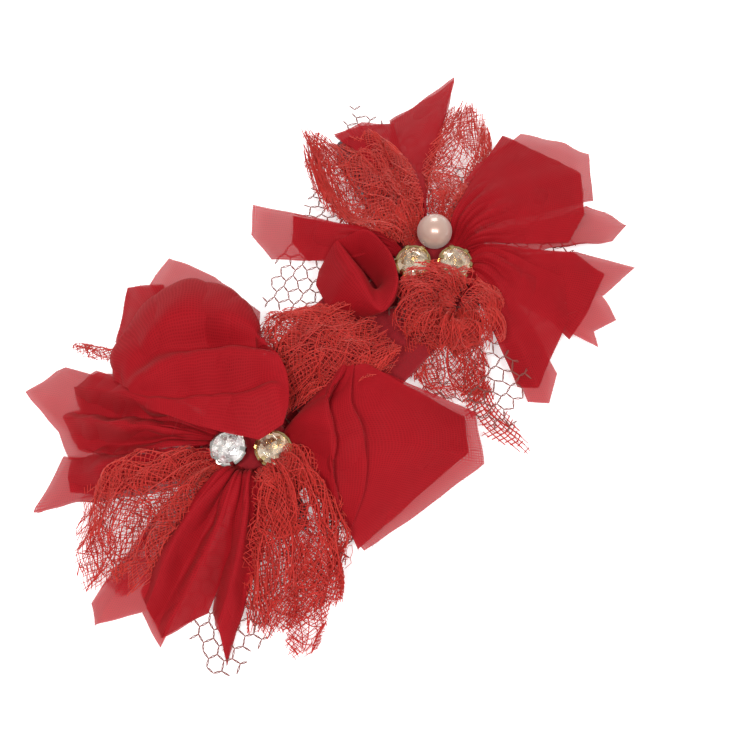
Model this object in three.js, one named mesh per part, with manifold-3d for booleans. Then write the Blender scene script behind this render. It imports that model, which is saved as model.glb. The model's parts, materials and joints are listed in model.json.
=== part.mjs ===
// Flower hair clip: two gathered fabric flowers on one felt backing, with a sprung alligator clip glued
// crosswise under each flower. Millimetres, +Z up. X runs from the near flower to the far flower, the
// origin is the middle of the assembled outline, and Z = 0 is the surface that the finger pads and the
// lowest petal tips rest on.
import * as THREE from "three";
import { ConvexGeometry } from "three/addons/geometries/ConvexGeometry.js";
import { mergeVertices } from "three/addons/utils/BufferGeometryUtils.js";
import Module from "manifold-3d";

const wasm = await Module();
wasm.setup();

// ---- Driving dimensions ----
const FLOWER_SPACING = 60; // between the two flowers' centres
const TOUCH_GAP = 0.3; // between pieces that rest on each other
const RUNNING_CLEARANCE = 0.12; // between the hinge pin and the ears it passes through

// Alligator clip, stamped from strip
const CLIP_WIDTH = 8;
const CLIP_STRIP = 0.8; // thickness of the strip
const CLIP_TURN = -20; // degrees about Z from crosswise
const NOSE_REACH = 44; // from the hinge pin to the nose
const HANDLE_REACH = 18; // from the hinge pin to the handle's end
const PAD_LENGTH = 7; // the flat finger pad at the lower handle's end
const PAD_DROP = 3.8; // how far the finger pad lies below the lower jaw
const JAW_GAP = 3.8; // between the two arms' inner faces
const NOSE_BEND = 6; // length over which each nose curls in
const TOOTH_PITCH = 2.4;
const TOOTH_ROOT = 1.1; // height of the flange below the teeth
const TOOTH_DEPTH = 1.1;
const TEETH_START = 8; // from the hinge pin
const TEETH_END = 36;
const EAR_RADIUS = 1.6;
const PIN_RADIUS = 0.85;
const PIN_HEAD_RADIUS = 1.4;
const PIN_HEAD_HEIGHT = 0.45;
const SPRING_WIRE_RADIUS = 0.25;
const SPRING_CLEARANCE = 0.25; // between the coil and the pin it is wound round
const SPRING_TURNS = 4;
const SPRING_LEG = 10;

// Backing and the flowers' stack
const GLUE_HEIGHT = 0.6;
const GLUE_LENGTH = 26;
const GLUE_WIDTH = 6.4;
const FELT_THICKNESS = 1.5;
const FELT_RADIUS = 14;
const SKIRT_RADIUS = 20;
const SKIRT_THICKNESS = 0.6;
const SKIRT_LOBES = 10;
const PETAL_THICKNESS = 0.8;
const PETAL_ROOT_RADIUS = 8; // where the gathered petals begin
const CENTRE_FELT_THICKNESS = 1.2;
const THREAD_RADIUS = 0.35;

// Bead cluster
const BEAD_CLEARANCE = 0.46; // between the beads
const CLUSTER_TURN = 40; // degrees from +X to the pearl
const PEARL_DIAMETER = 8;
const STONE_DIAMETER = 7;
const STONE_TILT = 12; // degrees that each stone leans outwards
const STONE_CLEARANCE = 0.25; // between a stone and its cup
const CUP_WALL = 0.35;
const CUP_FLOOR_RADIUS = 1.6;
const STONE_DEPTH = 2.15; // girdle to culet
const CROWN_HEIGHT = 1.0; // girdle to table
const GIRDLE_HEIGHT = 0.2;
const CLAW_COUNT = 6;
const CLAW_WIDTH = 0.9;

// Petals, each cut from a square and gathered at one corner: the direction of its diagonal and the half
// angle of its side corners in degrees, then in millimetres how far the side corners and the tip reach,
// the tip's height above the resting surface, and how high the petal bulges along its length.
const NEAR_PETALS = [
  { name: "chiffon_top", direction: 66, spread: 29, side: 40, tip: 52, tipHeight: 11, crest: 8 },
  { name: "chiffon_left", direction: 113, spread: 17.5, side: 42, tip: 55, tipHeight: 1, crest: 4 },
  { name: "chiffon_low_left", direction: 137, spread: 6, side: 35, tip: 48, tipHeight: 0, crest: 3 },
  { name: "lace_left", direction: 158, spread: 14.5, side: 36, tip: 42, tipHeight: 0, crest: 2 },
  { name: "chiffon_bottom", direction: 184, spread: 11, side: 34, tip: 46, tipHeight: 0, crest: 4 },
  { name: "chiffon_point", direction: 209, spread: 13, side: 30, tip: 43, tipHeight: 0, crest: 3 },
  { name: "lace_bottom", direction: 243, spread: 20.5, side: 31, tip: 41, tipHeight: 0, crest: 4 },
  { name: "chiffon_right", direction: 304, spread: 40, side: 30, tip: 49, tipHeight: 3, crest: 7 },
  { name: "lace_middle", direction: 11, spread: 26, side: 28, tip: 33, tipHeight: 14, crest: 3 },
];
const FAR_PETALS = [
  { name: "lace_crown", direction: 84, spread: 15, side: 40, tip: 52, tipHeight: 11, crest: 6 },
  { name: "chiffon_left", direction: 113, spread: 13.5, side: 36, tip: 46, tipHeight: 6, crest: 3 },
  { name: "chiffon_cone", direction: 152, spread: 25, side: 20, tip: 26, tipHeight: 15, crest: 5 },
  { name: "lace_leaf", direction: 232, spread: 19, side: 33, tip: 46, tipHeight: 0, crest: 2 },
  { name: "chiffon_low", direction: 264, spread: 12.5, side: 34, tip: 43, tipHeight: 0, crest: 2 },
  { name: "chiffon_low_right", direction: 296, spread: 19, side: 40, tip: 50, tipHeight: 0, crest: 2 },
  { name: "chiffon_upper_right", direction: 344, spread: 28.5, side: 42, tip: 51, tipHeight: 5, crest: 6 },
  { name: "lace_top", direction: 24, spread: 10.5, side: 42, tip: 52, tipHeight: 2, crest: 3 },
  { name: "chiffon_top", direction: 43, spread: 8, side: 44, tip: 57, tipHeight: 4, crest: 3 },
  { name: "chiffon_back", direction: 60, spread: 8.5, side: 42, tip: 50, tipHeight: 12, crest: 2 },
];
// The loose ruffle of lace that stands around the far flower's stones, above its lower petals.
const FAR_RUFFLE = { direction: 250, spread: 55, side: 18, tip: 22, tipHeight: 17, crest: 2 };

// ---- Heights that follow from the dimensions above, from the resting surface up ----
const LOWER_JAW_TOP = PAD_DROP + CLIP_STRIP;
const PIN_HEIGHT = LOWER_JAW_TOP + JAW_GAP / 2;
const UPPER_ARM_BOTTOM = LOWER_JAW_TOP + JAW_GAP;
const GLUE_BOTTOM = UPPER_ARM_BOTTOM + CLIP_STRIP + TOUCH_GAP;
const FELT_BOTTOM = GLUE_BOTTOM + GLUE_HEIGHT + TOUCH_GAP;
const SKIRT_BOTTOM = FELT_BOTTOM + FELT_THICKNESS + TOUCH_GAP;
const PETAL_BOTTOM = SKIRT_BOTTOM + SKIRT_THICKNESS + TOUCH_GAP;
const CENTRE_FELT_BOTTOM = PETAL_BOTTOM + PETAL_THICKNESS + TOUCH_GAP;
const CLUSTER_BOTTOM = CENTRE_FELT_BOTTOM + CENTRE_FELT_THICKNESS + TOUCH_GAP;
const STONE_RADIUS = STONE_DIAMETER / 2;
const CUP_RADIUS = STONE_RADIUS + STONE_CLEARANCE + CUP_WALL;
const CENTRE_FELT_RADIUS = PETAL_ROOT_RADIUS - 2 * TOUCH_GAP;

// The three beads' centres form an even triangle, and this is how far each lies from its middle.
const WIDEST_PAIR = CUP_RADIUS + Math.max(CUP_RADIUS, PEARL_DIAMETER / 2);
const CLUSTER_RADIUS = (WIDEST_PAIR + BEAD_CLEARANCE) / Math.sqrt(3);

// ---- Materials ----
const finish = (color, roughness, metalness = 0) =>
  new THREE.MeshStandardMaterial({ color, roughness, metalness });
const chiffon = () => finish(0xa8202a, 0.75);
const lace = () => finish(0xc0282a, 0.7);
const net = () => finish(0xb08a80, 0.6);
const felt = () => finish(0x8f1720, 0.95);
const clipEnamel = () => finish(0x2a1a1f, 0.35, 0.6);
const springSteel = () => finish(0xb8b8b8, 0.3, 1);
const hotGlue = () => finish(0xe6ddc8, 0.4);
const thread = () => finish(0x9c1d26, 0.8);
const pearl = () => finish(0xe2cfc6, 0.25);
const silver = () => finish(0xcfcfcf, 0.25, 1);
const brass = () => finish(0xc9a45c, 0.3, 1);
const clearGlass = () => finish(0xf2f4f6, 0.05);
const champagneGlass = () => finish(0xcba978, 0.05);

// ---- Helpers ----
const radians = THREE.MathUtils.degToRad;
const ALONG_Y = new THREE.Matrix4().makeBasis(
  new THREE.Vector3(0, 1, 0), new THREE.Vector3(0, 0, 1), new THREE.Vector3(1, 0, 0),
);

function toSolid(geometry) {
  const bare = geometry.clone();
  bare.deleteAttribute("normal");
  bare.deleteAttribute("uv");
  const merged = mergeVertices(bare);
  return new wasm.Manifold(new wasm.Mesh({
    numProp: 3,
    vertProperties: new Float32Array(merged.attributes.position.array),
    triVerts: new Uint32Array(merged.index.array),
  }));
}

function toGeometry(solid) {
  const { vertProperties, triVerts } = solid.getMesh();
  const geometry = new THREE.BufferGeometry();
  geometry.setAttribute("position", new THREE.BufferAttribute(vertProperties, 3));
  geometry.setIndex(new THREE.BufferAttribute(triVerts, 1));
  geometry.computeVertexNormals();
  return geometry;
}

// One solid from a first solid and the geometries added to it.
function joined(first, ...geometries) {
  return geometries.map(toSolid).reduce((sum, solid) => sum.add(solid), first);
}

function mesh(name, geometry, material) {
  const piece = new THREE.Mesh(geometry, material);
  piece.name = name;
  return piece;
}

// A side view drawn in Y and Z, given a width along X that is centred on centreX.
function fromSide(shape, width, centreX = 0) {
  const geometry = new THREE.ExtrudeGeometry(shape, { depth: width, bevelEnabled: false, curveSegments: 6 });
  return geometry.translate(0, 0, centreX - width / 2).applyMatrix4(ALONG_Y);
}

// A plan view given a height.
function fromPlan(shape, height, curveSegments) {
  return new THREE.ExtrudeGeometry(shape, { depth: height, bevelEnabled: false, curveSegments });
}

// The side view of a strip of even thickness whose middle follows a path.
function stripShape(path, thickness) {
  const middle = path.getPoints(6).filter((p, i, all) => i === 0 || p.distanceTo(all[i - 1]) > 1e-4);
  const edge = (side) => middle.map((point, i) => {
    const before = middle[Math.max(i - 1, 0)];
    const after = middle[Math.min(i + 1, middle.length - 1)];
    const along = after.clone().sub(before).normalize();
    return new THREE.Vector2(-along.y, along.x).multiplyScalar(side * thickness / 2).add(point);
  });
  return new THREE.Shape([...edge(-1), ...edge(1).reverse()]);
}

// A closed shell between a top and a bottom surface, both given by surface(s, t, side).
function shell(rows, columns, surface) {
  const positions = [];
  const triangles = [];
  const at = (i, j, side) => (side * (rows + 1) + i) * (columns + 1) + j;
  for (const side of [0, 1]) {
    for (let i = 0; i <= rows; i += 1) {
      for (let j = 0; j <= columns; j += 1) {
        positions.push(...surface(i / rows, (2 * j) / columns - 1, side));
      }
    }
  }
  const quad = (a, b, c, d) => triangles.push(a, b, c, a, c, d);
  for (let i = 0; i < rows; i += 1) {
    for (let j = 0; j < columns; j += 1) {
      quad(at(i, j, 1), at(i + 1, j, 1), at(i + 1, j + 1, 1), at(i, j + 1, 1));
      quad(at(i, j, 0), at(i, j + 1, 0), at(i + 1, j + 1, 0), at(i + 1, j, 0));
    }
    quad(at(i, 0, 0), at(i + 1, 0, 0), at(i + 1, 0, 1), at(i, 0, 1));
    quad(at(i, columns, 0), at(i, columns, 1), at(i + 1, columns, 1), at(i + 1, columns, 0));
  }
  for (let j = 0; j < columns; j += 1) {
    quad(at(0, j, 0), at(0, j, 1), at(0, j + 1, 1), at(0, j + 1, 0));
    quad(at(rows, j, 0), at(rows, j + 1, 0), at(rows, j + 1, 1), at(rows, j, 1));
  }
  const geometry = new THREE.BufferGeometry();
  geometry.setAttribute("position", new THREE.BufferAttribute(new Float32Array(positions), 3));
  geometry.setIndex(triangles);
  geometry.computeVertexNormals();
  return geometry;
}

// ---- Alligator clip, drawn with the hinge pin along X above the origin and the nose towards +Y ----
function clipPlan() {
  const half = CLIP_WIDTH / 2;
  const corner = 1.2;
  const plan = new THREE.Shape();
  plan.moveTo(-half, NOSE_REACH - half);
  plan.lineTo(-half, -HANDLE_REACH + corner);
  plan.quadraticCurveTo(-half, -HANDLE_REACH, -half + corner, -HANDLE_REACH);
  plan.lineTo(half - corner, -HANDLE_REACH);
  plan.quadraticCurveTo(half, -HANDLE_REACH, half, -HANDLE_REACH + corner);
  plan.lineTo(half, NOSE_REACH - half);
  plan.absarc(0, NOSE_REACH - half, half, 0, Math.PI, false);
  return fromPlan(plan, UPPER_ARM_BOTTOM + CLIP_STRIP + 2, 6).translate(0, 0, -1);
}

function stampedArm(path) {
  const strip = toSolid(fromSide(stripShape(path, CLIP_STRIP), CLIP_WIDTH + 1));
  return strip.intersect(toSolid(clipPlan()));
}

// A row of teeth on a flange that starts at rootHeight and points towards -Z or +Z.
function teeth(rootHeight, pointing, centreX) {
  const inside = rootHeight - pointing * CLIP_STRIP / 2;
  const shoulder = rootHeight + pointing * TOOTH_ROOT;
  const tip = shoulder + pointing * TOOTH_DEPTH;
  const count = Math.floor((TEETH_END - TEETH_START) / TOOTH_PITCH);
  const outline = [new THREE.Vector2(TEETH_START, inside), new THREE.Vector2(TEETH_START, shoulder)];
  for (let i = 0; i < count; i += 1) {
    const start = TEETH_START + i * TOOTH_PITCH;
    outline.push(new THREE.Vector2(start + TOOTH_PITCH / 2, tip));
    outline.push(new THREE.Vector2(start + TOOTH_PITCH, shoulder));
  }
  outline.push(new THREE.Vector2(TEETH_START + count * TOOTH_PITCH, inside));
  return fromSide(new THREE.Shape(outline), CLIP_STRIP, centreX);
}

// An ear that reaches from an arm's inner face round the hinge pin.
function ear(faceHeight, centreX) {
  const inside = faceHeight + Math.sign(faceHeight - PIN_HEIGHT) * CLIP_STRIP / 2;
  const above = faceHeight > PIN_HEIGHT;
  const outline = new THREE.Shape();
  outline.moveTo(EAR_RADIUS, inside);
  outline.absarc(0, PIN_HEIGHT, EAR_RADIUS, 0, Math.PI, above);
  outline.lineTo(-EAR_RADIUS, inside);
  return fromSide(outline, CLIP_STRIP, centreX);
}

// An arm with its two rows of teeth, and its two ears drilled for the pin.
function finishedArm(path, faceHeight, pointing, flange) {
  const sides = [-flange, flange].flatMap((x) => [teeth(faceHeight, pointing, x), ear(faceHeight, x)]);
  const drillRadius = PIN_RADIUS + RUNNING_CLEARANCE;
  const drill = new THREE.CylinderGeometry(drillRadius, drillRadius, CLIP_WIDTH + 2, 24)
    .rotateZ(Math.PI / 2).translate(0, 0, PIN_HEIGHT);
  return toGeometry(joined(stampedArm(path), ...sides).subtract(toSolid(drill)));
}

function upperArm() {
  const middle = UPPER_ARM_BOTTOM + CLIP_STRIP / 2;
  const curl = (JAW_GAP - TOUCH_GAP) / 2;
  const path = new THREE.Path();
  path.moveTo(-HANDLE_REACH, middle);
  path.lineTo(NOSE_REACH - NOSE_BEND, middle);
  path.quadraticCurveTo(NOSE_REACH - NOSE_BEND / 3, middle, NOSE_REACH, middle - curl);
  return finishedArm(path, UPPER_ARM_BOTTOM, -1, CLIP_WIDTH / 2 - CLIP_STRIP / 2);
}

function lowerArm() {
  const pad = CLIP_STRIP / 2;
  const middle = PAD_DROP + CLIP_STRIP / 2;
  const curl = (JAW_GAP - TOUCH_GAP) / 2;
  const padEnd = -HANDLE_REACH + PAD_LENGTH;
  const jawStart = -EAR_RADIUS;
  const rise = (jawStart - padEnd) / 2;
  const path = new THREE.Path();
  path.moveTo(-HANDLE_REACH, pad);
  path.lineTo(padEnd, pad);
  path.bezierCurveTo(padEnd + rise, pad, jawStart - rise, middle, jawStart, middle);
  path.lineTo(NOSE_REACH - NOSE_BEND, middle);
  path.quadraticCurveTo(NOSE_REACH - NOSE_BEND / 3, middle, NOSE_REACH, middle + curl);
  return finishedArm(path, LOWER_JAW_TOP, 1, CLIP_WIDTH / 2 - 1.5 * CLIP_STRIP - TOUCH_GAP);
}

function hingePin() {
  const shaft = CLIP_WIDTH / 2 + TOUCH_GAP;
  const end = shaft + PIN_HEAD_HEIGHT;
  const profile = [
    [0, -end], [PIN_HEAD_RADIUS, -end], [PIN_HEAD_RADIUS, -shaft], [PIN_RADIUS, -shaft],
    [PIN_RADIUS, shaft], [PIN_HEAD_RADIUS, shaft], [PIN_HEAD_RADIUS, end], [0, end],
  ].map(([radius, along]) => new THREE.Vector2(radius, along));
  return new THREE.LatheGeometry(profile, 16).rotateZ(-Math.PI / 2).translate(0, 0, PIN_HEIGHT);
}

// A torsion spring wound on the pin, with one leg under the upper handle and one over the lower handle.
function spring() {
  const radius = PIN_RADIUS + SPRING_CLEARANCE + SPRING_WIRE_RADIUS;
  const innerFlange = CLIP_WIDTH / 2 - 2 * CLIP_STRIP - TOUCH_GAP;
  const halfCoil = innerFlange - TOUCH_GAP - SPRING_WIRE_RADIUS;
  const stepsPerTurn = 12;
  const steps = (SPRING_TURNS + 0.5) * stepsPerTurn;
  const underArm = UPPER_ARM_BOTTOM - TOUCH_GAP - SPRING_WIRE_RADIUS;
  const points = [-SPRING_LEG, -SPRING_LEG / 2].map((y) => new THREE.Vector3(-halfCoil, y, underArm));
  for (let i = 0; i <= steps; i += 1) {
    const angle = Math.PI / 2 - (2 * Math.PI * i) / stepsPerTurn;
    const along = -halfCoil + (2 * halfCoil * i) / steps;
    points.push(new THREE.Vector3(along, radius * Math.cos(angle), PIN_HEIGHT + radius * Math.sin(angle)));
  }
  const restOnPad = CLIP_STRIP + TOUCH_GAP + SPRING_WIRE_RADIUS;
  const leaves = PIN_HEIGHT - radius;
  points.push(new THREE.Vector3(halfCoil, -0.3 * SPRING_LEG, leaves));
  points.push(new THREE.Vector3(halfCoil, -0.65 * SPRING_LEG, leaves + 0.35 * (restOnPad - leaves)));
  points.push(new THREE.Vector3(halfCoil, -SPRING_LEG, leaves + 0.72 * (restOnPad - leaves)));
  const section = new THREE.Shape();
  section.absarc(0, 0, SPRING_WIRE_RADIUS, 0, 2 * Math.PI, false);
  return new THREE.ExtrudeGeometry(section, {
    steps: 80, extrudePath: new THREE.CatmullRomCurve3(points), curveSegments: 3, bevelEnabled: false,
  });
}

function glueBead() {
  const bead = new THREE.Shape();
  bead.absellipse(0, 0, GLUE_WIDTH / 2, GLUE_LENGTH / 2, 0, 2 * Math.PI, false, 0);
  return fromPlan(bead, GLUE_HEIGHT, 8).translate(0, 0, GLUE_BOTTOM);
}

function clip(flower) {
  const group = new THREE.Group();
  group.rotation.z = radians(CLIP_TURN);
  group.add(mesh(`${flower}_clip_upper_arm`, upperArm(), clipEnamel()));
  group.add(mesh(`${flower}_clip_lower_arm`, lowerArm(), clipEnamel()));
  group.add(mesh(`${flower}_clip_hinge_pin`, hingePin(), clipEnamel()));
  group.add(mesh(`${flower}_clip_spring`, spring(), springSteel()));
  group.add(mesh(`${flower}_clip_glue`, glueBead(), hotGlue()));
  return group;
}

// ---- Backing ----
function feltBacking() {
  const half = FLOWER_SPACING / 2;
  const outline = new THREE.Shape();
  outline.absarc(half, 0, FELT_RADIUS, -Math.PI / 2, Math.PI / 2, false);
  outline.absarc(-half, 0, FELT_RADIUS, Math.PI / 2, 1.5 * Math.PI, false);
  return fromPlan(outline, FELT_THICKNESS, 12).translate(0, 0, FELT_BOTTOM);
}

// ---- Petals ----
// How far a petal reaches at an angle from its diagonal: the straight cut edge from side corner to tip.
function cutEdge(petal, angle) {
  const spread = radians(petal.spread);
  return (petal.side * petal.tip * Math.sin(spread))
    / (petal.side * Math.sin(spread - angle) + petal.tip * Math.sin(angle));
}

// towardsOther is the sign of X on the side where the other flower is. A petal on that side stops at
// the line halfway between the two flowers.
function petalGeometry(petal, root, rootHeight, towardsOther) {
  const surface = (s, t, side) => {
    const nominal = radians(petal.direction) + t * radians(petal.spread);
    const towards = Math.cos(nominal) * towardsOther;
    const halfway = FLOWER_SPACING / 2 - TOUCH_GAP / 2;
    const cut = cutEdge(petal, Math.abs(t) * radians(petal.spread));
    const reach = towards > 0 ? Math.min(cut, halfway / towards) : cut;
    const radius = root + (reach - root) * s;
    const angle = nominal - t * Math.asin(TOUCH_GAP / 2 / radius);
    const share = (radius - root) / (petal.tip - root);
    const height = rootHeight + (petal.tipHeight - rootHeight) * share ** 3
      + petal.crest * Math.sin(Math.PI * share) + side * PETAL_THICKNESS;
    return [radius * Math.cos(angle), radius * Math.sin(angle), height];
  };
  return shell(7, petal.spread > 18 ? 8 : 4, surface);
}

function netSkirt() {
  const points = [];
  const count = SKIRT_LOBES * 4;
  for (let i = 0; i < count; i += 1) {
    const angle = (2 * Math.PI * i) / count;
    const radius = SKIRT_RADIUS - 0.8 * (1 - Math.cos(SKIRT_LOBES * angle)) / 2;
    points.push(new THREE.Vector2(radius * Math.cos(angle), radius * Math.sin(angle)));
  }
  return fromPlan(new THREE.Shape(points), SKIRT_THICKNESS, 1).translate(0, 0, SKIRT_BOTTOM);
}

// ---- Bead cluster ----
// A round crystal cut with a flat table, kite and girdle facets, and a blunt culet.
function crystal() {
  const girdle = CUP_WALL + STONE_CLEARANCE + STONE_DEPTH;
  const rings = [
    { sides: 8, radius: 0.3, height: girdle - STONE_DEPTH, turn: 0 },
    { sides: 8, radius: 0.62 * STONE_RADIUS, height: girdle - 0.42 * STONE_DEPTH, turn: 0.5 },
    { sides: 16, radius: STONE_RADIUS, height: girdle, turn: 0 },
    { sides: 16, radius: STONE_RADIUS, height: girdle + GIRDLE_HEIGHT, turn: 0 },
    { sides: 8, radius: 0.8 * STONE_RADIUS, height: girdle + GIRDLE_HEIGHT + 0.58 * CROWN_HEIGHT, turn: 0 },
    { sides: 8, radius: 0.56 * STONE_RADIUS, height: girdle + GIRDLE_HEIGHT + CROWN_HEIGHT, turn: 0.5 },
  ];
  const points = rings.flatMap(({ sides, radius, height, turn }) =>
    Array.from({ length: sides }, (_, i) => {
      const angle = (2 * Math.PI * (i + turn)) / sides;
      return new THREE.Vector3(radius * Math.cos(angle), radius * Math.sin(angle), height);
    }));
  return new ConvexGeometry(points);
}

// A pressed metal cup with claws that bend over the stone's crown.
function clawCup() {
  const rim = CUP_WALL + STONE_CLEARANCE + STONE_DEPTH - 0.1;
  const girdleTop = rim + 0.1 + GIRDLE_HEIGHT;
  const bowl = new THREE.LatheGeometry([
    [0, 0], [CUP_FLOOR_RADIUS, 0], [CUP_RADIUS, rim * 0.8], [CUP_RADIUS, rim],
    [CUP_RADIUS - CUP_WALL, rim], [CUP_RADIUS - CUP_WALL, rim * 0.86], [CUP_FLOOR_RADIUS * 0.7, CUP_WALL],
    [0, CUP_WALL],
  ].map(([radius, height]) => new THREE.Vector2(radius, height)), 18).rotateX(Math.PI / 2);
  const overCrown = girdleTop + STONE_CLEARANCE;
  const profile = new THREE.Shape([
    [CUP_RADIUS - CUP_WALL, rim - 0.4], [CUP_RADIUS, rim - 0.4], [CUP_RADIUS, overCrown + 0.35],
    [CUP_RADIUS - 0.45, overCrown + 0.85], [CUP_RADIUS - 1.1, overCrown + 0.95],
    [CUP_RADIUS - 1.15, overCrown + 0.65], [CUP_RADIUS - CUP_WALL, overCrown + 0.1],
  ].map(([radius, height]) => new THREE.Vector2(radius, height)));
  const claws = Array.from({ length: CLAW_COUNT }, (_, i) =>
    fromSide(profile, CLAW_WIDTH).rotateZ((2 * Math.PI * (i + 0.5)) / CLAW_COUNT));
  return toGeometry(joined(toSolid(bowl), ...claws));
}

// One stone in its cup at an angle around the flower's centre, leaning outwards.
function setStone(name, degrees, glass, metal) {
  const group = new THREE.Group();
  const lift = CUP_RADIUS * Math.sin(radians(STONE_TILT));
  group.position.set(
    CLUSTER_RADIUS * Math.cos(radians(degrees)), CLUSTER_RADIUS * Math.sin(radians(degrees)),
    CLUSTER_BOTTOM + lift,
  );
  const lean = new THREE.Vector3(-Math.sin(radians(degrees)), Math.cos(radians(degrees)), 0);
  group.quaternion.setFromAxisAngle(lean, radians(STONE_TILT));
  group.add(mesh(`${name}_cup`, clawCup(), metal));
  group.add(mesh(`${name}_stone`, crystal(), glass));
  return group;
}

function pearlBead() {
  const angle = radians(CLUSTER_TURN);
  return new THREE.SphereGeometry(PEARL_DIAMETER / 2, 18, 12).rotateX(Math.PI / 2).translate(
    CLUSTER_RADIUS * Math.cos(angle), CLUSTER_RADIUS * Math.sin(angle), CLUSTER_BOTTOM + PEARL_DIAMETER / 2,
  );
}

function centreFelt() {
  return new THREE.CylinderGeometry(CENTRE_FELT_RADIUS, CENTRE_FELT_RADIUS, CENTRE_FELT_THICKNESS, 24)
    .rotateX(Math.PI / 2).translate(0, 0, CENTRE_FELT_BOTTOM + CENTRE_FELT_THICKNESS / 2);
}

// The gathering thread, drawn tight in a ring just inside the petals' roots.
function gatherThread() {
  return new THREE.TorusGeometry(PETAL_ROOT_RADIUS - TOUCH_GAP - 2 * THREAD_RADIUS, THREAD_RADIUS, 6, 24)
    .translate(0, 0, PETAL_BOTTOM + THREAD_RADIUS);
}

// ---- Assembly ----
function flower(name, side, petals, leftGlass, leftMetal) {
  const group = new THREE.Group();
  group.position.x = side * FLOWER_SPACING / 2;
  group.add(mesh(`${name}_net_skirt`, netSkirt(), net()));
  for (const petal of petals) {
    const fabric = petal.name.startsWith("lace") ? lace() : chiffon();
    const geometry = petalGeometry(petal, PETAL_ROOT_RADIUS, PETAL_BOTTOM, -side);
    group.add(mesh(`${name}_${petal.name}`, geometry, fabric));
  }
  group.add(mesh(`${name}_gather_thread`, gatherThread(), thread()));
  group.add(mesh(`${name}_centre_felt`, centreFelt(), felt()));
  group.add(mesh(`${name}_pearl`, pearlBead(), pearl()));
  group.add(setStone(`${name}_left`, CLUSTER_TURN + 120, leftGlass, leftMetal));
  group.add(setStone(`${name}_right`, CLUSTER_TURN - 120, champagneGlass(), brass()));
  group.add(clip(name));
  return group;
}

const model = new THREE.Group();
model.add(mesh("felt_backing", feltBacking(), felt()));
model.add(flower("near", -1, NEAR_PETALS, clearGlass(), silver()));
const farFlower = flower("far", 1, FAR_PETALS, champagneGlass(), brass());
const ruffle = petalGeometry(FAR_RUFFLE, PETAL_ROOT_RADIUS + TOUCH_GAP, CENTRE_FELT_BOTTOM, -1);
farFlower.add(mesh("far_lace_ruffle", ruffle, lace()));
model.add(farFlower);
model.updateMatrixWorld(true);
const outline = new THREE.Box3().setFromObject(model, true);
model.position.set(-(outline.min.x + outline.max.x) / 2, -(outline.min.y + outline.max.y) / 2, 0);

export default model;
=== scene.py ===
"""A pair of fabric flowers on one felt backing, each with a sprung alligator clip glued behind it.

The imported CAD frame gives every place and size. This script makes what shows: chiffon petals gathered round
a bead cluster, cut pieces of corded lace, a coarse net skirt, felt, glue, coiled springs and the finishes.
Lengths in the classes are millimetres, and a flower's own points are measured from its centre.
"""

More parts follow.
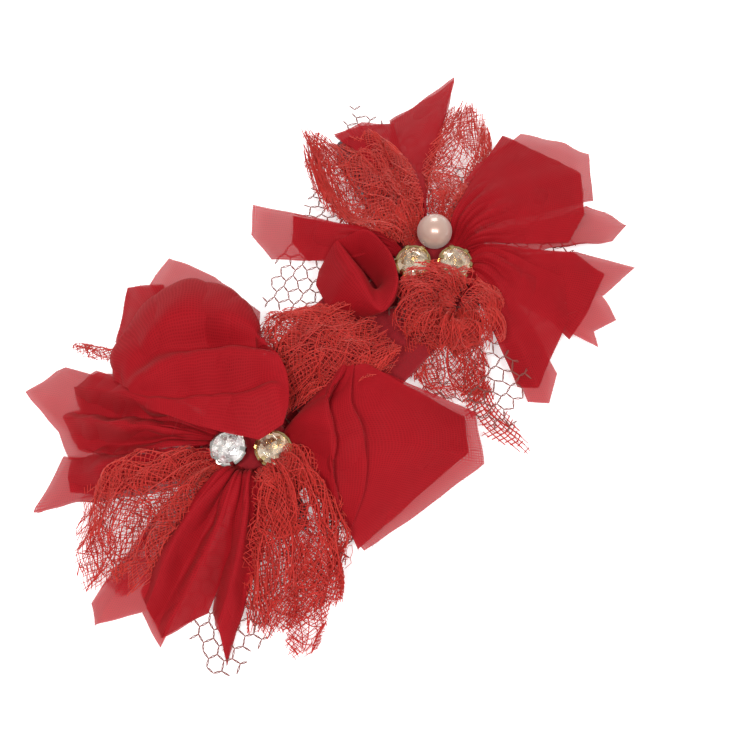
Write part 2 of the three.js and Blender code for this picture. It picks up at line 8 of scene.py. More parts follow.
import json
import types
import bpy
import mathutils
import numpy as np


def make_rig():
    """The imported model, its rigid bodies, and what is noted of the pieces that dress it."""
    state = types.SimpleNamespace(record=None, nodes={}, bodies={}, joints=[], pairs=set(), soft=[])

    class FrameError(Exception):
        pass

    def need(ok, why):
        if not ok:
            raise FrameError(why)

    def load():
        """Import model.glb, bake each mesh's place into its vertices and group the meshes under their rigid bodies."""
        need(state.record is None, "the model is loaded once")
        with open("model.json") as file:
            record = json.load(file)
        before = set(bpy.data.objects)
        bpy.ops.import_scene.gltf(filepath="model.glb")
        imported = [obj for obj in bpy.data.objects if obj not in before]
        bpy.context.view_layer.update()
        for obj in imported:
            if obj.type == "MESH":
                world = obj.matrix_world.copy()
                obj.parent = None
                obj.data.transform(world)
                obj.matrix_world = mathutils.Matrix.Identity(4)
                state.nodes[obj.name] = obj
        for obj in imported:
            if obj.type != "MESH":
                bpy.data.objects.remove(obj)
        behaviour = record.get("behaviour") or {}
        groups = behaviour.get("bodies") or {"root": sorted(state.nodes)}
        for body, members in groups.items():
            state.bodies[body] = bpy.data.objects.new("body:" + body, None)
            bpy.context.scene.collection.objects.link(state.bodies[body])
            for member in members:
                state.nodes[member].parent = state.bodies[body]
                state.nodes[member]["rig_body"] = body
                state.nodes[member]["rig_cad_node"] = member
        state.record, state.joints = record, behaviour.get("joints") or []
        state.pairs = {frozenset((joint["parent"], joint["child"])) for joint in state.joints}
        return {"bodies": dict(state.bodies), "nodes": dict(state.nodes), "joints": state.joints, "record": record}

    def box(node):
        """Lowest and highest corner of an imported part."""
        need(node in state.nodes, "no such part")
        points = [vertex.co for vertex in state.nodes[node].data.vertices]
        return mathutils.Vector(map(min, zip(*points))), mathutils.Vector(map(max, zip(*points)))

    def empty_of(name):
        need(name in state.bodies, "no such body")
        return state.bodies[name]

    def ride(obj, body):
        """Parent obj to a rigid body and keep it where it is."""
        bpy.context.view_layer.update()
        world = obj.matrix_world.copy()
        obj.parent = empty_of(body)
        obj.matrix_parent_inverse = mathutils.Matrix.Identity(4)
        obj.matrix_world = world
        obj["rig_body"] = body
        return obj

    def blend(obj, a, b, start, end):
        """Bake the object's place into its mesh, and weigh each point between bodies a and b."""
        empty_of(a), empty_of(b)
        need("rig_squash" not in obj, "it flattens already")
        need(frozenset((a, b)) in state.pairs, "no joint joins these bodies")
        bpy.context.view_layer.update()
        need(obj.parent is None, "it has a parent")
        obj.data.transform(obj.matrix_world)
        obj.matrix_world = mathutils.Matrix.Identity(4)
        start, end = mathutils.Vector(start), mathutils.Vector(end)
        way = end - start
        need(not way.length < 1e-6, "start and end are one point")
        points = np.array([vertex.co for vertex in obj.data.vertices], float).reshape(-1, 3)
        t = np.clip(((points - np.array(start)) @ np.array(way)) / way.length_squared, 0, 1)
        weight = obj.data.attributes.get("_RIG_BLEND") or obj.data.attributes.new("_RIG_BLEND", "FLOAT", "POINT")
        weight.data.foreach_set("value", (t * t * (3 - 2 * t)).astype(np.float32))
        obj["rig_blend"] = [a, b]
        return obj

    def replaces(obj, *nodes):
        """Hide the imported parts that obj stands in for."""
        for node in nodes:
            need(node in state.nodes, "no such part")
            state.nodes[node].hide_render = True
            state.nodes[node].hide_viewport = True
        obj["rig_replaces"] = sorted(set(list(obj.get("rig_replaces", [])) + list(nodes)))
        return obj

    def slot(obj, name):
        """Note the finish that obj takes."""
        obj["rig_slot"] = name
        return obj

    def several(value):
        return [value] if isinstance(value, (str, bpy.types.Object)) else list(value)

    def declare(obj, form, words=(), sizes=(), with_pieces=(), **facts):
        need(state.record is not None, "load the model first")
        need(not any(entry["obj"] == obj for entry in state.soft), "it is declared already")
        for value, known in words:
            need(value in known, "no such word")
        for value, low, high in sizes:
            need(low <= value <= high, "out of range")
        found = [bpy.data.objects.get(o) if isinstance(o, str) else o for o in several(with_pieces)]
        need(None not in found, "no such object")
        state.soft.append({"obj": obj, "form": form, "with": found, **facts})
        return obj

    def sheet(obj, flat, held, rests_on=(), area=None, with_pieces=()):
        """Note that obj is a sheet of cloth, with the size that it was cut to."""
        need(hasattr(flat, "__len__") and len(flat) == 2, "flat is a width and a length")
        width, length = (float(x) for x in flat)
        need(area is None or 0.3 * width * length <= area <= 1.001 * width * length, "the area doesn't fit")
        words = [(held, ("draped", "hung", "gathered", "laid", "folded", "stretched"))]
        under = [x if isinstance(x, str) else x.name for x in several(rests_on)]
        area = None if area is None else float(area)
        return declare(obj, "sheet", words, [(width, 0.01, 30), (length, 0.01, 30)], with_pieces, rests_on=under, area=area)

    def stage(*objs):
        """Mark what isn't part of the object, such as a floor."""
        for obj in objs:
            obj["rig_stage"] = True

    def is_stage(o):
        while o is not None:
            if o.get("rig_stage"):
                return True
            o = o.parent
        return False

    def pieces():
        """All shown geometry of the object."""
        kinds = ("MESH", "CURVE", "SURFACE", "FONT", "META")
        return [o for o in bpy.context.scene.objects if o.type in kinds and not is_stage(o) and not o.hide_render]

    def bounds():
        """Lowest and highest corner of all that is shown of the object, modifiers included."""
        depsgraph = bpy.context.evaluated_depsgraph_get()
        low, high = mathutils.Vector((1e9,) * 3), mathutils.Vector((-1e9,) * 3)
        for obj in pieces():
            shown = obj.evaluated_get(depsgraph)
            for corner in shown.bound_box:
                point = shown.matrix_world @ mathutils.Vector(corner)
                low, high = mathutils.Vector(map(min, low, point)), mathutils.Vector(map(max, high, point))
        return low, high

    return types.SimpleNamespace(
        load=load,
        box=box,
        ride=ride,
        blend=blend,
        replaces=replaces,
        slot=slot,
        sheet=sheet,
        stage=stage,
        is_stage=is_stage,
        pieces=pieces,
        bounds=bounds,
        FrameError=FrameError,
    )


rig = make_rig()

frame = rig.load()

import json
import logging
import math
from dataclasses import dataclass, field
from enum import Enum

import bpy
import numpy as np
from mathutils import Vector

CAD_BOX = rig.bounds()
MM = 0.001
THREAD_SIDES = 3  # of the thousands of short runs of thread, which are too fine for more to show
CORD_SIDES = 8
CLOTH_FLOOR = 0.4  # mm, the lowest that a layer of cloth hangs
THREAD_FLOOR = 0.3  # mm, the lowest that a thread hangs
LAYER_STEP = 0.35  # mm from one layer of cloth down to the next
LOG = logging.getLogger("flower_clip")


# ---------------------------------------------------------------- mesh and node helpers


def linear(code: str) -> tuple[float, float, float, float]:
    """Turns an sRGB hex colour into the linear RGBA that shaders use.

    Args:
        code: The colour, such as "#B4161F".

    Returns:
        Linear red, green, blue and an alpha of 1.
    """
    parts = [int(code[i:i + 2], 16) / 255 for i in (1, 3, 5)]
    return (*[c / 12.92 if c <= 0.04045 else ((c + 0.055) / 1.055) ** 2.4 for c in parts], 1.0)


def add_node(tree: bpy.types.NodeTree, kind: str, settings: dict | None = None,
             inputs: dict | None = None) -> bpy.types.Node:
    """Adds one shader node with its settings and its links.

    Args:
        tree: The material's or world's node tree.
        kind: The node's type name.
        settings: Attributes to set on the node.
        inputs: Socket name or index, with the number, colour or output socket that feeds it.

    Returns:
        The new node.
    """
    made = tree.nodes.new(kind)
    for name, value in (settings or {}).items():
        setattr(made, name, value)
    for name, value in (inputs or {}).items():
        if isinstance(value, bpy.types.NodeSocket):
            tree.links.new(value, made.inputs[name])
        else:
            made.inputs[name].default_value = value
    return made


def new_material(name: str) -> tuple[bpy.types.Material, bpy.types.NodeTree, bpy.types.Node]:
    """Makes an empty node material.

    Args:
        name: The material's name.

    Returns:
        The material, its node tree and its output node.
    """
    material = bpy.data.materials.new(name)
    material.use_nodes = True
    material.node_tree.nodes.clear()
    return material, material.node_tree, material.node_tree.nodes.new("ShaderNodeOutputMaterial")


def smooth_line(points: np.ndarray, steps: int) -> np.ndarray:
    """Runs a smooth curve through a row of points, or through a row of whole curves.

    Args:
        points: The points in order, along the first axis.
        steps: How many steps each gap is cut into.

    Returns:
        The curve's points, with the given points among them.
    """
    ends = np.concatenate([2 * points[:1] - points[1:2], points, 2 * points[-1:] - points[-2:-1]])
    t = np.linspace(0, 1, steps, endpoint=False).reshape(-1, *[1] * (points.ndim - 1))
    spans = []
    for before, start, stop, after in zip(ends, ends[1:], ends[2:], ends[3:]):
        square = 2 * before - 5 * start + 4 * stop - after
        cube = 3 * start - before - 3 * stop + after
        spans.append(0.5 * (2 * start + (stop - before) * t + square * t ** 2 + cube * t ** 3))
    return np.concatenate([*spans, points[-1:]])


def straight_line(points: np.ndarray, steps: int) -> np.ndarray:
    """Cuts the straight runs between points into steps.

    Args:
        points: The points in order, along the first axis.
        steps: How many steps each gap is cut into.

    Returns:
        The run's points.
    """
    t = np.linspace(0, 1, steps, endpoint=False).reshape(-1, *[1] * (points.ndim - 1))
    spans = [a + (b - a) * t for a, b in zip(points, points[1:])]
    return np.concatenate([*spans, points[-1:]])


def grid_faces(rows: int, columns: int, closed: bool = False) -> np.ndarray:
    """Lists the quads of a grid of points.

    Args:
        rows: Points along the first way.
        columns: Points along the second way.
        closed: Whether the last column joins the first.

    Returns:
        Four point indices for each quad.
    """
    i = np.arange(rows - 1)[:, None]
    j = np.arange(columns if closed else columns - 1)[None, :]
    k = (j + 1) % columns
    quads = np.stack(np.broadcast_arrays(i * columns + j, i * columns + k, (i + 1) * columns + k,
                                         (i + 1) * columns + j), axis=-1)
    return quads.reshape(-1, 4)


def cap_faces(count: int) -> np.ndarray:
    """Lists the quads that fill a ring of points, as a fan from its first point."""
    return np.array([[0, k, k + 1, k + 2] for k in range(1, count - 2, 2)])


def node_box(node: str) -> tuple[np.ndarray, np.ndarray]:
    """Returns a CAD node's lowest and highest corners, in millimetres."""
    low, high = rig.box(node)
    return np.array(low) / MM, np.array(high) / MM


def section_ring(across: np.ndarray, up: np.ndarray, sides: int, start: float = 0.0) -> np.ndarray:
    """Lays a ring of directions round each place on a tube.

    Args:
        across: The way across the tube at each place, n by 3.
        up: The way at right angles to that, n by 3.
        sides: How many sides the tube has.
        start: The first side's angle.

    Returns:
        The directions, n by sides by 3.
    """
    turn = np.arange(sides) * 2 * math.pi / sides + start
    return across[:, None] * np.cos(turn)[None, :, None] + up[:, None] * np.sin(turn)[None, :, None]


class Shell:
    """The points, faces and cloth coordinates of one piece while it is being made, in millimetres."""

    def __init__(self) -> None:
        """Starts with nothing."""
        self.points: list[np.ndarray] = []
        self.faces: list[np.ndarray] = []
        self.cloth: list[np.ndarray] = []
        self.count = 0

    def add(self, points: np.ndarray, faces: np.ndarray, cloth: np.ndarray | None = None) -> None:
        """Adds points and the faces between them.

        Args:
            points: The new points, n by 3.
            faces: Quads as indices into the new points.
            cloth: Each point's place on the flat cloth, n by 2, if the piece is cloth.
        """
        self.points.append(points.reshape(-1, 3))
        self.faces.append(faces + self.count)
        self.cloth.append(points.reshape(-1, 3)[:, :2] if cloth is None else cloth.reshape(-1, 2))
        self.count += len(self.points[-1])

    def piece(self, name: str, slot: str, material: bpy.types.Material, replaces: tuple[str, ...] = (),
              body: str = "flowers") -> bpy.types.Object:
        """Turns the shell into a Blender object that rides on a body.

        Args:
            name: The piece's name.
            slot: The record's material slot.
            material: Its finish.
            replaces: The CAD nodes that it stands for.
            body: The CAD body that it rides on, or nothing if it will bend between two.

        Returns:
            The object.
        """
        mesh = bpy.data.meshes.new(name)
        points, faces = np.concatenate(self.points) * MM, np.concatenate(self.faces)
        mesh.vertices.add(len(points))
        mesh.vertices.foreach_set("co", points.astype(np.float32).ravel())
        mesh.loops.add(faces.size)
        mesh.loops.foreach_set("vertex_index", faces.astype(np.int32).ravel())
        mesh.polygons.add(len(faces))
        mesh.polygons.foreach_set("loop_start", np.arange(0, faces.size, 4, dtype=np.int32))
        mesh.polygons.foreach_set("use_smooth", np.full(len(faces), True))
        layer = mesh.uv_layers.new(name="cloth")
        layer.data.foreach_set("uv", np.concatenate(self.cloth)[faces.ravel()].astype(np.float32).ravel())
        mesh.update()
        mesh.validate()
        mesh.materials.append(material)
        made = bpy.data.objects.new(name, mesh)
        bpy.context.scene.collection.objects.link(made)
        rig.slot(made, slot)
        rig.replaces(made, *replaces)
        if body:
            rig.ride(made, body)
        LOG.info("%s: %d faces", name, len(faces))
        return made


def add_threads(shell: Shell, runs: np.ndarray, radius: float) -> None:
    """Adds short straight open tubes, one for each run of thread.

    Args:
        shell: The piece that they join.
        runs: Each run's two ends, n by 2 by 3.
        radius: The thread's radius.
    """
    if not len(runs):
        return
    along = runs[:, 1] - runs[:, 0]
    along /= np.maximum(np.linalg.norm(along, axis=1, keepdims=True), 1e-6)
    across = np.cross(along, np.where(np.abs(along[:, 2:]) < 0.9, [[0, 0, 1.0]], [[1.0, 0, 0]]))
    across /= np.linalg.norm(across, axis=1, keepdims=True)
    ring = radius * section_ring(across, np.cross(across, along), THREAD_SIDES, start=0.5)
    points = runs[:, :, None, :] + ring[:, None]
    side = np.arange(THREAD_SIDES)
    follower = (side + 1) % THREAD_SIDES
    quad = np.stack([side, follower, THREAD_SIDES + follower, THREAD_SIDES + side], axis=-1)
    firsts = 2 * THREAD_SIDES * np.arange(len(runs))
    shell.add(points, (quad[None] + firsts[:, None, None]).reshape(-1, 4))


def add_cord(shell: Shell, line: np.ndarray, radius: float) -> None:
    """Adds one bent tube with closed, rounded ends.

    Args:
        shell: The piece that it joins.
        line: The points along its middle.
        radius: Its radius.
    """
    first, last = line[0] - line[1], line[-1] - line[-2]
    # Each end bulges by 0.6 of the radius and closes to 0.4 of it.
    cap = [line[0] + first / np.linalg.norm(first) * radius * 0.6,
           line[-1] + last / np.linalg.norm(last) * radius * 0.6]
    line = np.concatenate([cap[:1], line, cap[1:]])
    radii = np.full(len(line), radius)
    radii[[0, -1]] = radius * 0.4
    along = np.gradient(line, axis=0)
    along /= np.linalg.norm(along, axis=1, keepdims=True)
    side = np.cross(along[0], [0.3, 0.2, 0.93])
    sides_at = []
    for direction in along:
        side = side - direction * side.dot(direction)
        side /= np.linalg.norm(side)
        sides_at.append(side)
    across = np.array(sides_at)
    points = line[:, None] + section_ring(across, np.cross(across, along), CORD_SIDES) * radii[:, None, None]
    faces = grid_faces(len(line), CORD_SIDES, closed=True)
    ends = cap_faces(CORD_SIDES)
    shell.add(points, np.concatenate([faces, ends[:, ::-1], ends + (len(line) - 1) * CORD_SIDES]))


# ---------------------------------------------------------------- finishes


@dataclass(frozen=True)
class Chiffon:
    """Polyester chiffon, plain-woven from crepe yarn and piece-dyed red.

    One layer is sheer and pinkish, and several look solid.
    """

    dye: str = "#AF1420"
    shade: str = "#98101A"
    through: str = "#C41A22"
    yarn_spacing: float = 0.5  # mm; real chiffon has about 0.25, which is too fine to show
    yarn_cover: float = 0.95
    gap_cover: float = 0.7

    def material(self) -> bpy.types.Material:
        """Makes the material: open weave that lets light and the ground show between the yarns.

        Returns:
            The material.
        """
        made, tree, output = new_material("polyester_chiffon_plain_woven")
        place = add_node(tree, "ShaderNodeUVMap", {"uv_map": "cloth"})
        # A slow waver keeps the yarns from lying ruler-straight.
        waver = add_node(tree, "ShaderNodeTexNoise", None,
                         {"Vector": place.outputs[0], "Scale": 0.35, "Detail": 2.0})
        shift = add_node(tree, "ShaderNodeVectorMath", {"operation": "SCALE"},
                         {0: waver.outputs["Color"], "Scale": 0.7})
        moved = add_node(tree, "ShaderNodeVectorMath", {"operation": "ADD"},
                         {0: place.outputs[0], 1: shift.outputs[0]})
        split = add_node(tree, "ShaderNodeSeparateXYZ", None, {0: moved.outputs[0]})
        yarns = []
        for axis in (0, 1):
            turn = add_node(tree, "ShaderNodeMath", {"operation": "MULTIPLY"},
                            {0: split.outputs[axis], 1: math.pi / self.yarn_spacing})
            wave = add_node(tree, "ShaderNodeMath", {"operation": "SINE"}, {0: turn.outputs[0]})
            yarns.append(add_node(tree, "ShaderNodeMath", {"operation": "ABSOLUTE"}, {0: wave.outputs[0]}))
        weave = add_node(tree, "ShaderNodeMath", {"operation": "MAXIMUM"},
                         {0: yarns[0].outputs[0], 1: yarns[1].outputs[0]})
        cover = add_node(tree, "ShaderNodeMapRange", {"interpolation_type": "SMOOTHSTEP"},
                         {"Value": weave.outputs[0], "From Min": 0.6, "From Max": 0.95,
                          "To Min": self.gap_cover, "To Max": self.yarn_cover})
        # Crepe yarn is uneven, so the dye looks a little deeper in patches.
        patches = add_node(tree, "ShaderNodeTexNoise", None,
                           {"Vector": place.outputs[0], "Scale": 0.12, "Detail": 4.0, "Roughness": 0.6})
        colour = add_node(tree, "ShaderNodeMix", {"data_type": "RGBA"},
                          {0: patches.outputs[0], 6: linear(self.shade), 7: linear(self.dye)})
        bump = add_node(tree, "ShaderNodeBump", None,
                        {"Height": weave.outputs[0], "Strength": 0.05, "Distance": 0.06 * MM})
        face = add_node(tree, "ShaderNodeBsdfPrincipled", None,
                        {"Base Color": colour.outputs[2], "Roughness": 0.75, "Specular IOR Level": 0.14,
                         "Sheen Weight": 0.1, "Sheen Roughness": 0.45, "Sheen Tint": linear("#FF8A80"),
                         "Normal": bump.outputs[0]})
        glow = add_node(tree, "ShaderNodeBsdfTranslucent", None, {"Color": linear(self.through)})
        cloth = add_node(tree, "ShaderNodeMixShader", None, {0: 0.2, 1: face.outputs[0], 2: glow.outputs[0]})
        clear = add_node(tree, "ShaderNodeBsdfTransparent")
        mixed = add_node(tree, "ShaderNodeMixShader", None,
                         {0: cover.outputs[0], 1: clear.outputs[0], 2: cloth.outputs[0]})
        tree.links.new(mixed.outputs[0], output.inputs[0])
        return made


@dataclass(frozen=True)
class SpunThread:
    """Dyed spun thread, as in corded lace, net or sewing thread: matt, slightly hairy and a little uneven."""

    name: str = "cotton_lace_thread_dyed"
    dye: str = "#E63A2E"
    shade: str = "#BC1A1A"
    patch: float = 5.0  # mm between light and dark stretches
    sheen: float = 0.4

    def material(self) -> bpy.types.Material:
        """Makes the material: soft light-catching fibre with darker stretches along it.

        Returns:
            The material.
        """
        made, tree, output = new_material(self.name)
        place = add_node(tree, "ShaderNodeTexCoord")
        uneven = add_node(tree, "ShaderNodeTexNoise", None,
                          {"Vector": place.outputs["Object"], "Scale": 1 / (self.patch * MM), "Detail": 5.0})
        colour = add_node(tree, "ShaderNodeMix", {"data_type": "RGBA"},
                          {0: uneven.outputs[0], 6: linear(self.shade), 7: linear(self.dye)})
        # Fibres stand off the thread every tenth of a millimetre.
        fibre = add_node(tree, "ShaderNodeTexNoise", None,
                         {"Vector": place.outputs["Object"], "Scale": 1 / (0.1 * MM), "Detail": 2.0})
        bump = add_node(tree, "ShaderNodeBump", None,
                        {"Height": fibre.outputs[0], "Strength": 0.5, "Distance": 0.03 * MM})
        face = add_node(tree, "ShaderNodeBsdfPrincipled", None,
                        {"Base Color": colour.outputs[2], "Roughness": 0.6, "Sheen Weight": self.sheen,
                         "Sheen Roughness": 0.4, "Sheen Tint": linear("#FFB0A0"), "Normal": bump.outputs[0]})
        glow = add_node(tree, "ShaderNodeBsdfTranslucent", None, {"Color": linear(self.dye)})
        mixed = add_node(tree, "ShaderNodeMixShader", None, {0: 0.25, 1: face.outputs[0], 2: glow.outputs[0]})
        tree.links.new(mixed.outputs[0], output.inputs[0])
        return made


@dataclass(frozen=True)
class Felt:
    """Pressed wool-blend felt, dyed crimson: dull, with fibres lying every way."""

    dye: str = "#9E1620"
    shade: str = "#74101A"
    fibre: float = 0.6  # mm long, as seen

    def material(self) -> bpy.types.Material:
        """Makes the material: a mottled, fuzzy surface without gloss.

        Returns:
            The material.
        """
        made, tree, output = new_material("wool_felt_pressed")
        place = add_node(tree, "ShaderNodeTexCoord")
        mat = add_node(tree, "ShaderNodeTexNoise", None,
                       {"Vector": place.outputs["Object"], "Scale": 1 / (self.fibre * MM), "Detail": 8.0,
                        "Roughness": 0.75, "Distortion": 1.5})
        colour = add_node(tree, "ShaderNodeMix", {"data_type": "RGBA"},
                          {0: mat.outputs[0], 6: linear(self.shade), 7: linear(self.dye)})
        bump = add_node(tree, "ShaderNodeBump", None,
                        {"Height": mat.outputs[0], "Strength": 0.8, "Distance": 0.3 * MM})
        face = add_node(tree, "ShaderNodeBsdfPrincipled", None,
                        {"Base Color": colour.outputs[2], "Roughness": 0.95, "Specular IOR Level": 0.15,
                         "Sheen Weight": 0.5, "Sheen Roughness": 0.6, "Sheen Tint": linear("#E08080"),
                         "Normal": bump.outputs[0]})
        tree.links.new(face.outputs[0], output.inputs[0])
        return made


class Metal(Enum):
    """The bare or plated metals, as name, colour, roughness and the size of their marks in millimetres."""

    SPRING_STEEL = ("spring_steel_drawn_wire", "#BFC1C2", 0.28, 0.4)
    SILVER_PLATE = ("silver_plate_pressed_cup", "#E9E7E2", 0.14, 1.2)
    BRASS = ("yellow_brass_pressed_cup", "#D9C08A", 0.2, 1.2)

    def material(self) -> bpy.types.Material:
        """Makes the material: a mirror broken by fine handling marks.

        Returns:
            The material.
        """
        name, colour, roughness, marks = self.value
        made, tree, output = new_material(name)
        place = add_node(tree, "ShaderNodeTexCoord")
        wear = add_node(tree, "ShaderNodeTexNoise", None,
                        {"Vector": place.outputs["Object"], "Scale": 1 / (marks * MM), "Detail": 6.0})
        rough = add_node(tree, "ShaderNodeMapRange", None,
                         {"Value": wear.outputs[0], "To Min": roughness * 0.6, "To Max": roughness * 1.6})
        bump = add_node(tree, "ShaderNodeBump", None,
                        {"Height": wear.outputs[0], "Strength": 0.12, "Distance": 0.05 * MM})
        face = add_node(tree, "ShaderNodeBsdfPrincipled", None,
                        {"Base Color": linear(colour), "Metallic": 1.0, "Roughness": rough.outputs[0],
                         "Normal": bump.outputs[0]})
        tree.links.new(face.outputs[0], output.inputs[0])
        return made


@dataclass(frozen=True)
class Enamel:
    """Baked enamel on stamped steel: near black, with a painted plum reflection of the red cloth; glossy, orange peel,
    paler worn flecks.
    """

    # The enamel itself is near black; the plum in this colour is a painted reflection of the red petals around it.
    colour: str = "#3B1E2B"
    worn: str = "#6A4752"
    peel: float = 0.8  # mm between the dimples of the orange peel

    def material(self) -> bpy.types.Material:
        """Makes the material: a hard, dark, slightly rippled coat.

        Returns:
            The material.
        """
        made, tree, output = new_material("steel_clip_baked_enamel")
        place = add_node(tree, "ShaderNodeTexCoord")
        ripple = add_node(tree, "ShaderNodeTexNoise", None,
                          {"Vector": place.outputs["Object"], "Scale": 1 / (self.peel * MM), "Detail": 3.0})
        flecks = add_node(tree, "ShaderNodeTexNoise", None,
                          {"Vector": place.outputs["Object"], "Scale": 1 / (3 * MM), "Detail": 8.0,
                           "Roughness": 0.7})
        wear = add_node(tree, "ShaderNodeMapRange", None,
                        {"Value": flecks.outputs[0], "From Min": 0.6, "From Max": 0.72})
        colour = add_node(tree, "ShaderNodeMix", {"data_type": "RGBA"},
                          {0: wear.outputs[0], 6: linear(self.colour), 7: linear(self.worn)})
        bump = add_node(tree, "ShaderNodeBump", None,
                        {"Height": ripple.outputs[0], "Strength": 0.15, "Distance": 0.05 * MM})
        face = add_node(tree, "ShaderNodeBsdfPrincipled", None,
                        {"Base Color": colour.outputs[2], "Roughness": 0.42, "Coat Weight": 0.2,
                         "Coat Roughness": 0.2, "Normal": bump.outputs[0]})
        tree.links.new(face.outputs[0], output.inputs[0])
        return made


@dataclass(frozen=True)
class HotGlue:
    """Hot-melt glue (EVA), squeezed on molten: milky, waxy and slightly see-through."""

    colour: str = "#EAE3D2"

    def material(self) -> bpy.types.Material:
        """Makes the material: cloudy wax with soft highlights.

        Returns:
            The material.
        """
        made, tree, output = new_material("hot_melt_glue_squeezed")
        place = add_node(tree, "ShaderNodeTexCoord")
        cloud = add_node(tree, "ShaderNodeTexNoise", None,
                         {"Vector": place.outputs["Object"], "Scale": 1 / (2 * MM), "Detail": 3.0})
        bump = add_node(tree, "ShaderNodeBump", None,
                        {"Height": cloud.outputs[0], "Strength": 0.3, "Distance": 0.15 * MM})
        face = add_node(tree, "ShaderNodeBsdfPrincipled", None,
                        {"Base Color": linear(self.colour), "Roughness": 0.35, "IOR": 1.48,
                         "Subsurface Weight": 0.4, "Subsurface Scale": 1.5 * MM, "Normal": bump.outputs[0]})
        tree.links.new(face.outputs[0], output.inputs[0])
        return made


@dataclass(frozen=True)
class Pearl:
    """Glass bead dipped in pearl lacquer: pinkish beige under a clear coat, with a paler painted sheen where it turns
    away.
    """

    heart: str = "#BE9A8B"
    # The rim colour is a painted sheen, mixed in where the bead turns away from view.
    rim: str = "#E2CDC2"

    def material(self) -> bpy.types.Material:
        """Makes the material: pinkish beige with a painted paler sheen at the rim, and a sharp clear-coat highlight.

        Returns:
            The material.
        """
        made, tree, output = new_material("glass_pearl_lacquered")
        # Painted sheen: the colour turns paler towards the rim as the surface faces away from the view.
        edge = add_node(tree, "ShaderNodeLayerWeight", None, {"Blend": 0.35})
        colour = add_node(tree, "ShaderNodeMix", {"data_type": "RGBA"},
                          {0: edge.outputs["Facing"], 6: linear(self.heart), 7: linear(self.rim)})
        face = add_node(tree, "ShaderNodeBsdfPrincipled", None,
                        {"Base Color": colour.outputs[2], "Roughness": 0.32, "Metallic": 0.25,
                         "Coat Weight": 1.0, "Coat Roughness": 0.04, "Sheen Weight": 0.3,
                         "Sheen Tint": linear("#FFF2EA")})
        tree.links.new(face.outputs[0], output.inputs[0])
        return made


class Crystal(Enum):
    """Cut glass stones, as name and tint."""

    CLEAR = ("crystal_glass_cut_clear", "#FFFDFC")
    CHAMPAGNE = ("crystal_glass_cut_champagne", "#EFE2CF")

    def material(self) -> bpy.types.Material:
        """Makes the material: polished glass over mirror foil, whose bumped facets turn light and dark, with painted
        glints glowing on some.

        Returns:
            The material.
        """
        name, tint = self.value
        made, tree, output = new_material(name)
        place = add_node(tree, "ShaderNodeTexCoord")
        # Back facets a millimetre wide are drawn as bumped cells, some bright and some dark. Emission on the brighter
        # cells paints glints in place of the light that the foil sends back.
        facets = add_node(tree, "ShaderNodeTexVoronoi", None,
                          {"Vector": place.outputs["Object"], "Scale": 1 / (1.1 * MM)})
        value = add_node(tree, "ShaderNodeSeparateXYZ", None, {0: facets.outputs["Color"]})
        # Painted glints: emission strength per cell, glowing in the stone's tint.
        painted_glint_glow = add_node(tree, "ShaderNodeMapRange", None,
                         {"Value": value.outputs[0], "From Min": 0.3, "To Min": 0.0, "To Max": 0.34})
        bump = add_node(tree, "ShaderNodeBump", None,
                        {"Height": value.outputs[1], "Strength": 0.35, "Distance": 0.2 * MM})
        face = add_node(tree, "ShaderNodeBsdfPrincipled", None,
                        {"Base Color": linear(tint), "Roughness": 0.04, "IOR": 1.56,
                         "Transmission Weight": 1.0, "Metallic": 0.3, "Emission Color": linear(tint),
                         "Emission Strength": painted_glint_glow.outputs[0], "Normal": bump.outputs[0]})
        tree.links.new(face.outputs[0], output.inputs[0])
        return made


@dataclass(frozen=True)
class Finishes:
    """Every finish, made once."""

    chiffon: bpy.types.Material = field(default_factory=lambda: Chiffon().material())
    lace: bpy.types.Material = field(default_factory=lambda: SpunThread().material())
    net: bpy.types.Material = field(default_factory=lambda: SpunThread(
        "nylon_net_thread_twisted", "#A8625A", "#8A463F", 3.0, 0.2).material())
    thread: bpy.types.Material = field(default_factory=lambda: SpunThread(
        "polyester_sewing_thread", "#B01A22", "#8A1018", 2.0, 0.3).material())
    felt: bpy.types.Material = field(default_factory=lambda: Felt().material())
    enamel: bpy.types.Material = field(default_factory=lambda: Enamel().material())
    steel: bpy.types.Material = field(default_factory=Metal.SPRING_STEEL.material)
    silver: bpy.types.Material = field(default_factory=Metal.SILVER_PLATE.material)
    brass: bpy.types.Material = field(default_factory=Metal.BRASS.material)
    glue: bpy.types.Material = field(default_factory=lambda: HotGlue().material())
    pearl: bpy.types.Material = field(default_factory=lambda: Pearl().material())
    clear: bpy.types.Material = field(default_factory=Crystal.CLEAR.material)
    champagne: bpy.types.Material = field(default_factory=Crystal.CHAMPAGNE.material)


def dress(node: str, material: bpy.types.Material) -> None:
    """Gives a CAD node its finish, in the material slots that it has.

    Args:
        node: The node's name.
        material: The finish.
    """
    for slot in bpy.data.objects[node].material_slots:
        slot.material = material
    LOG.info("%s: CAD mesh, %s", node, material.name)


# ---------------------------------------------------------------- cloth


Ribs = tuple[tuple[tuple[float, float, float], ...], ...]


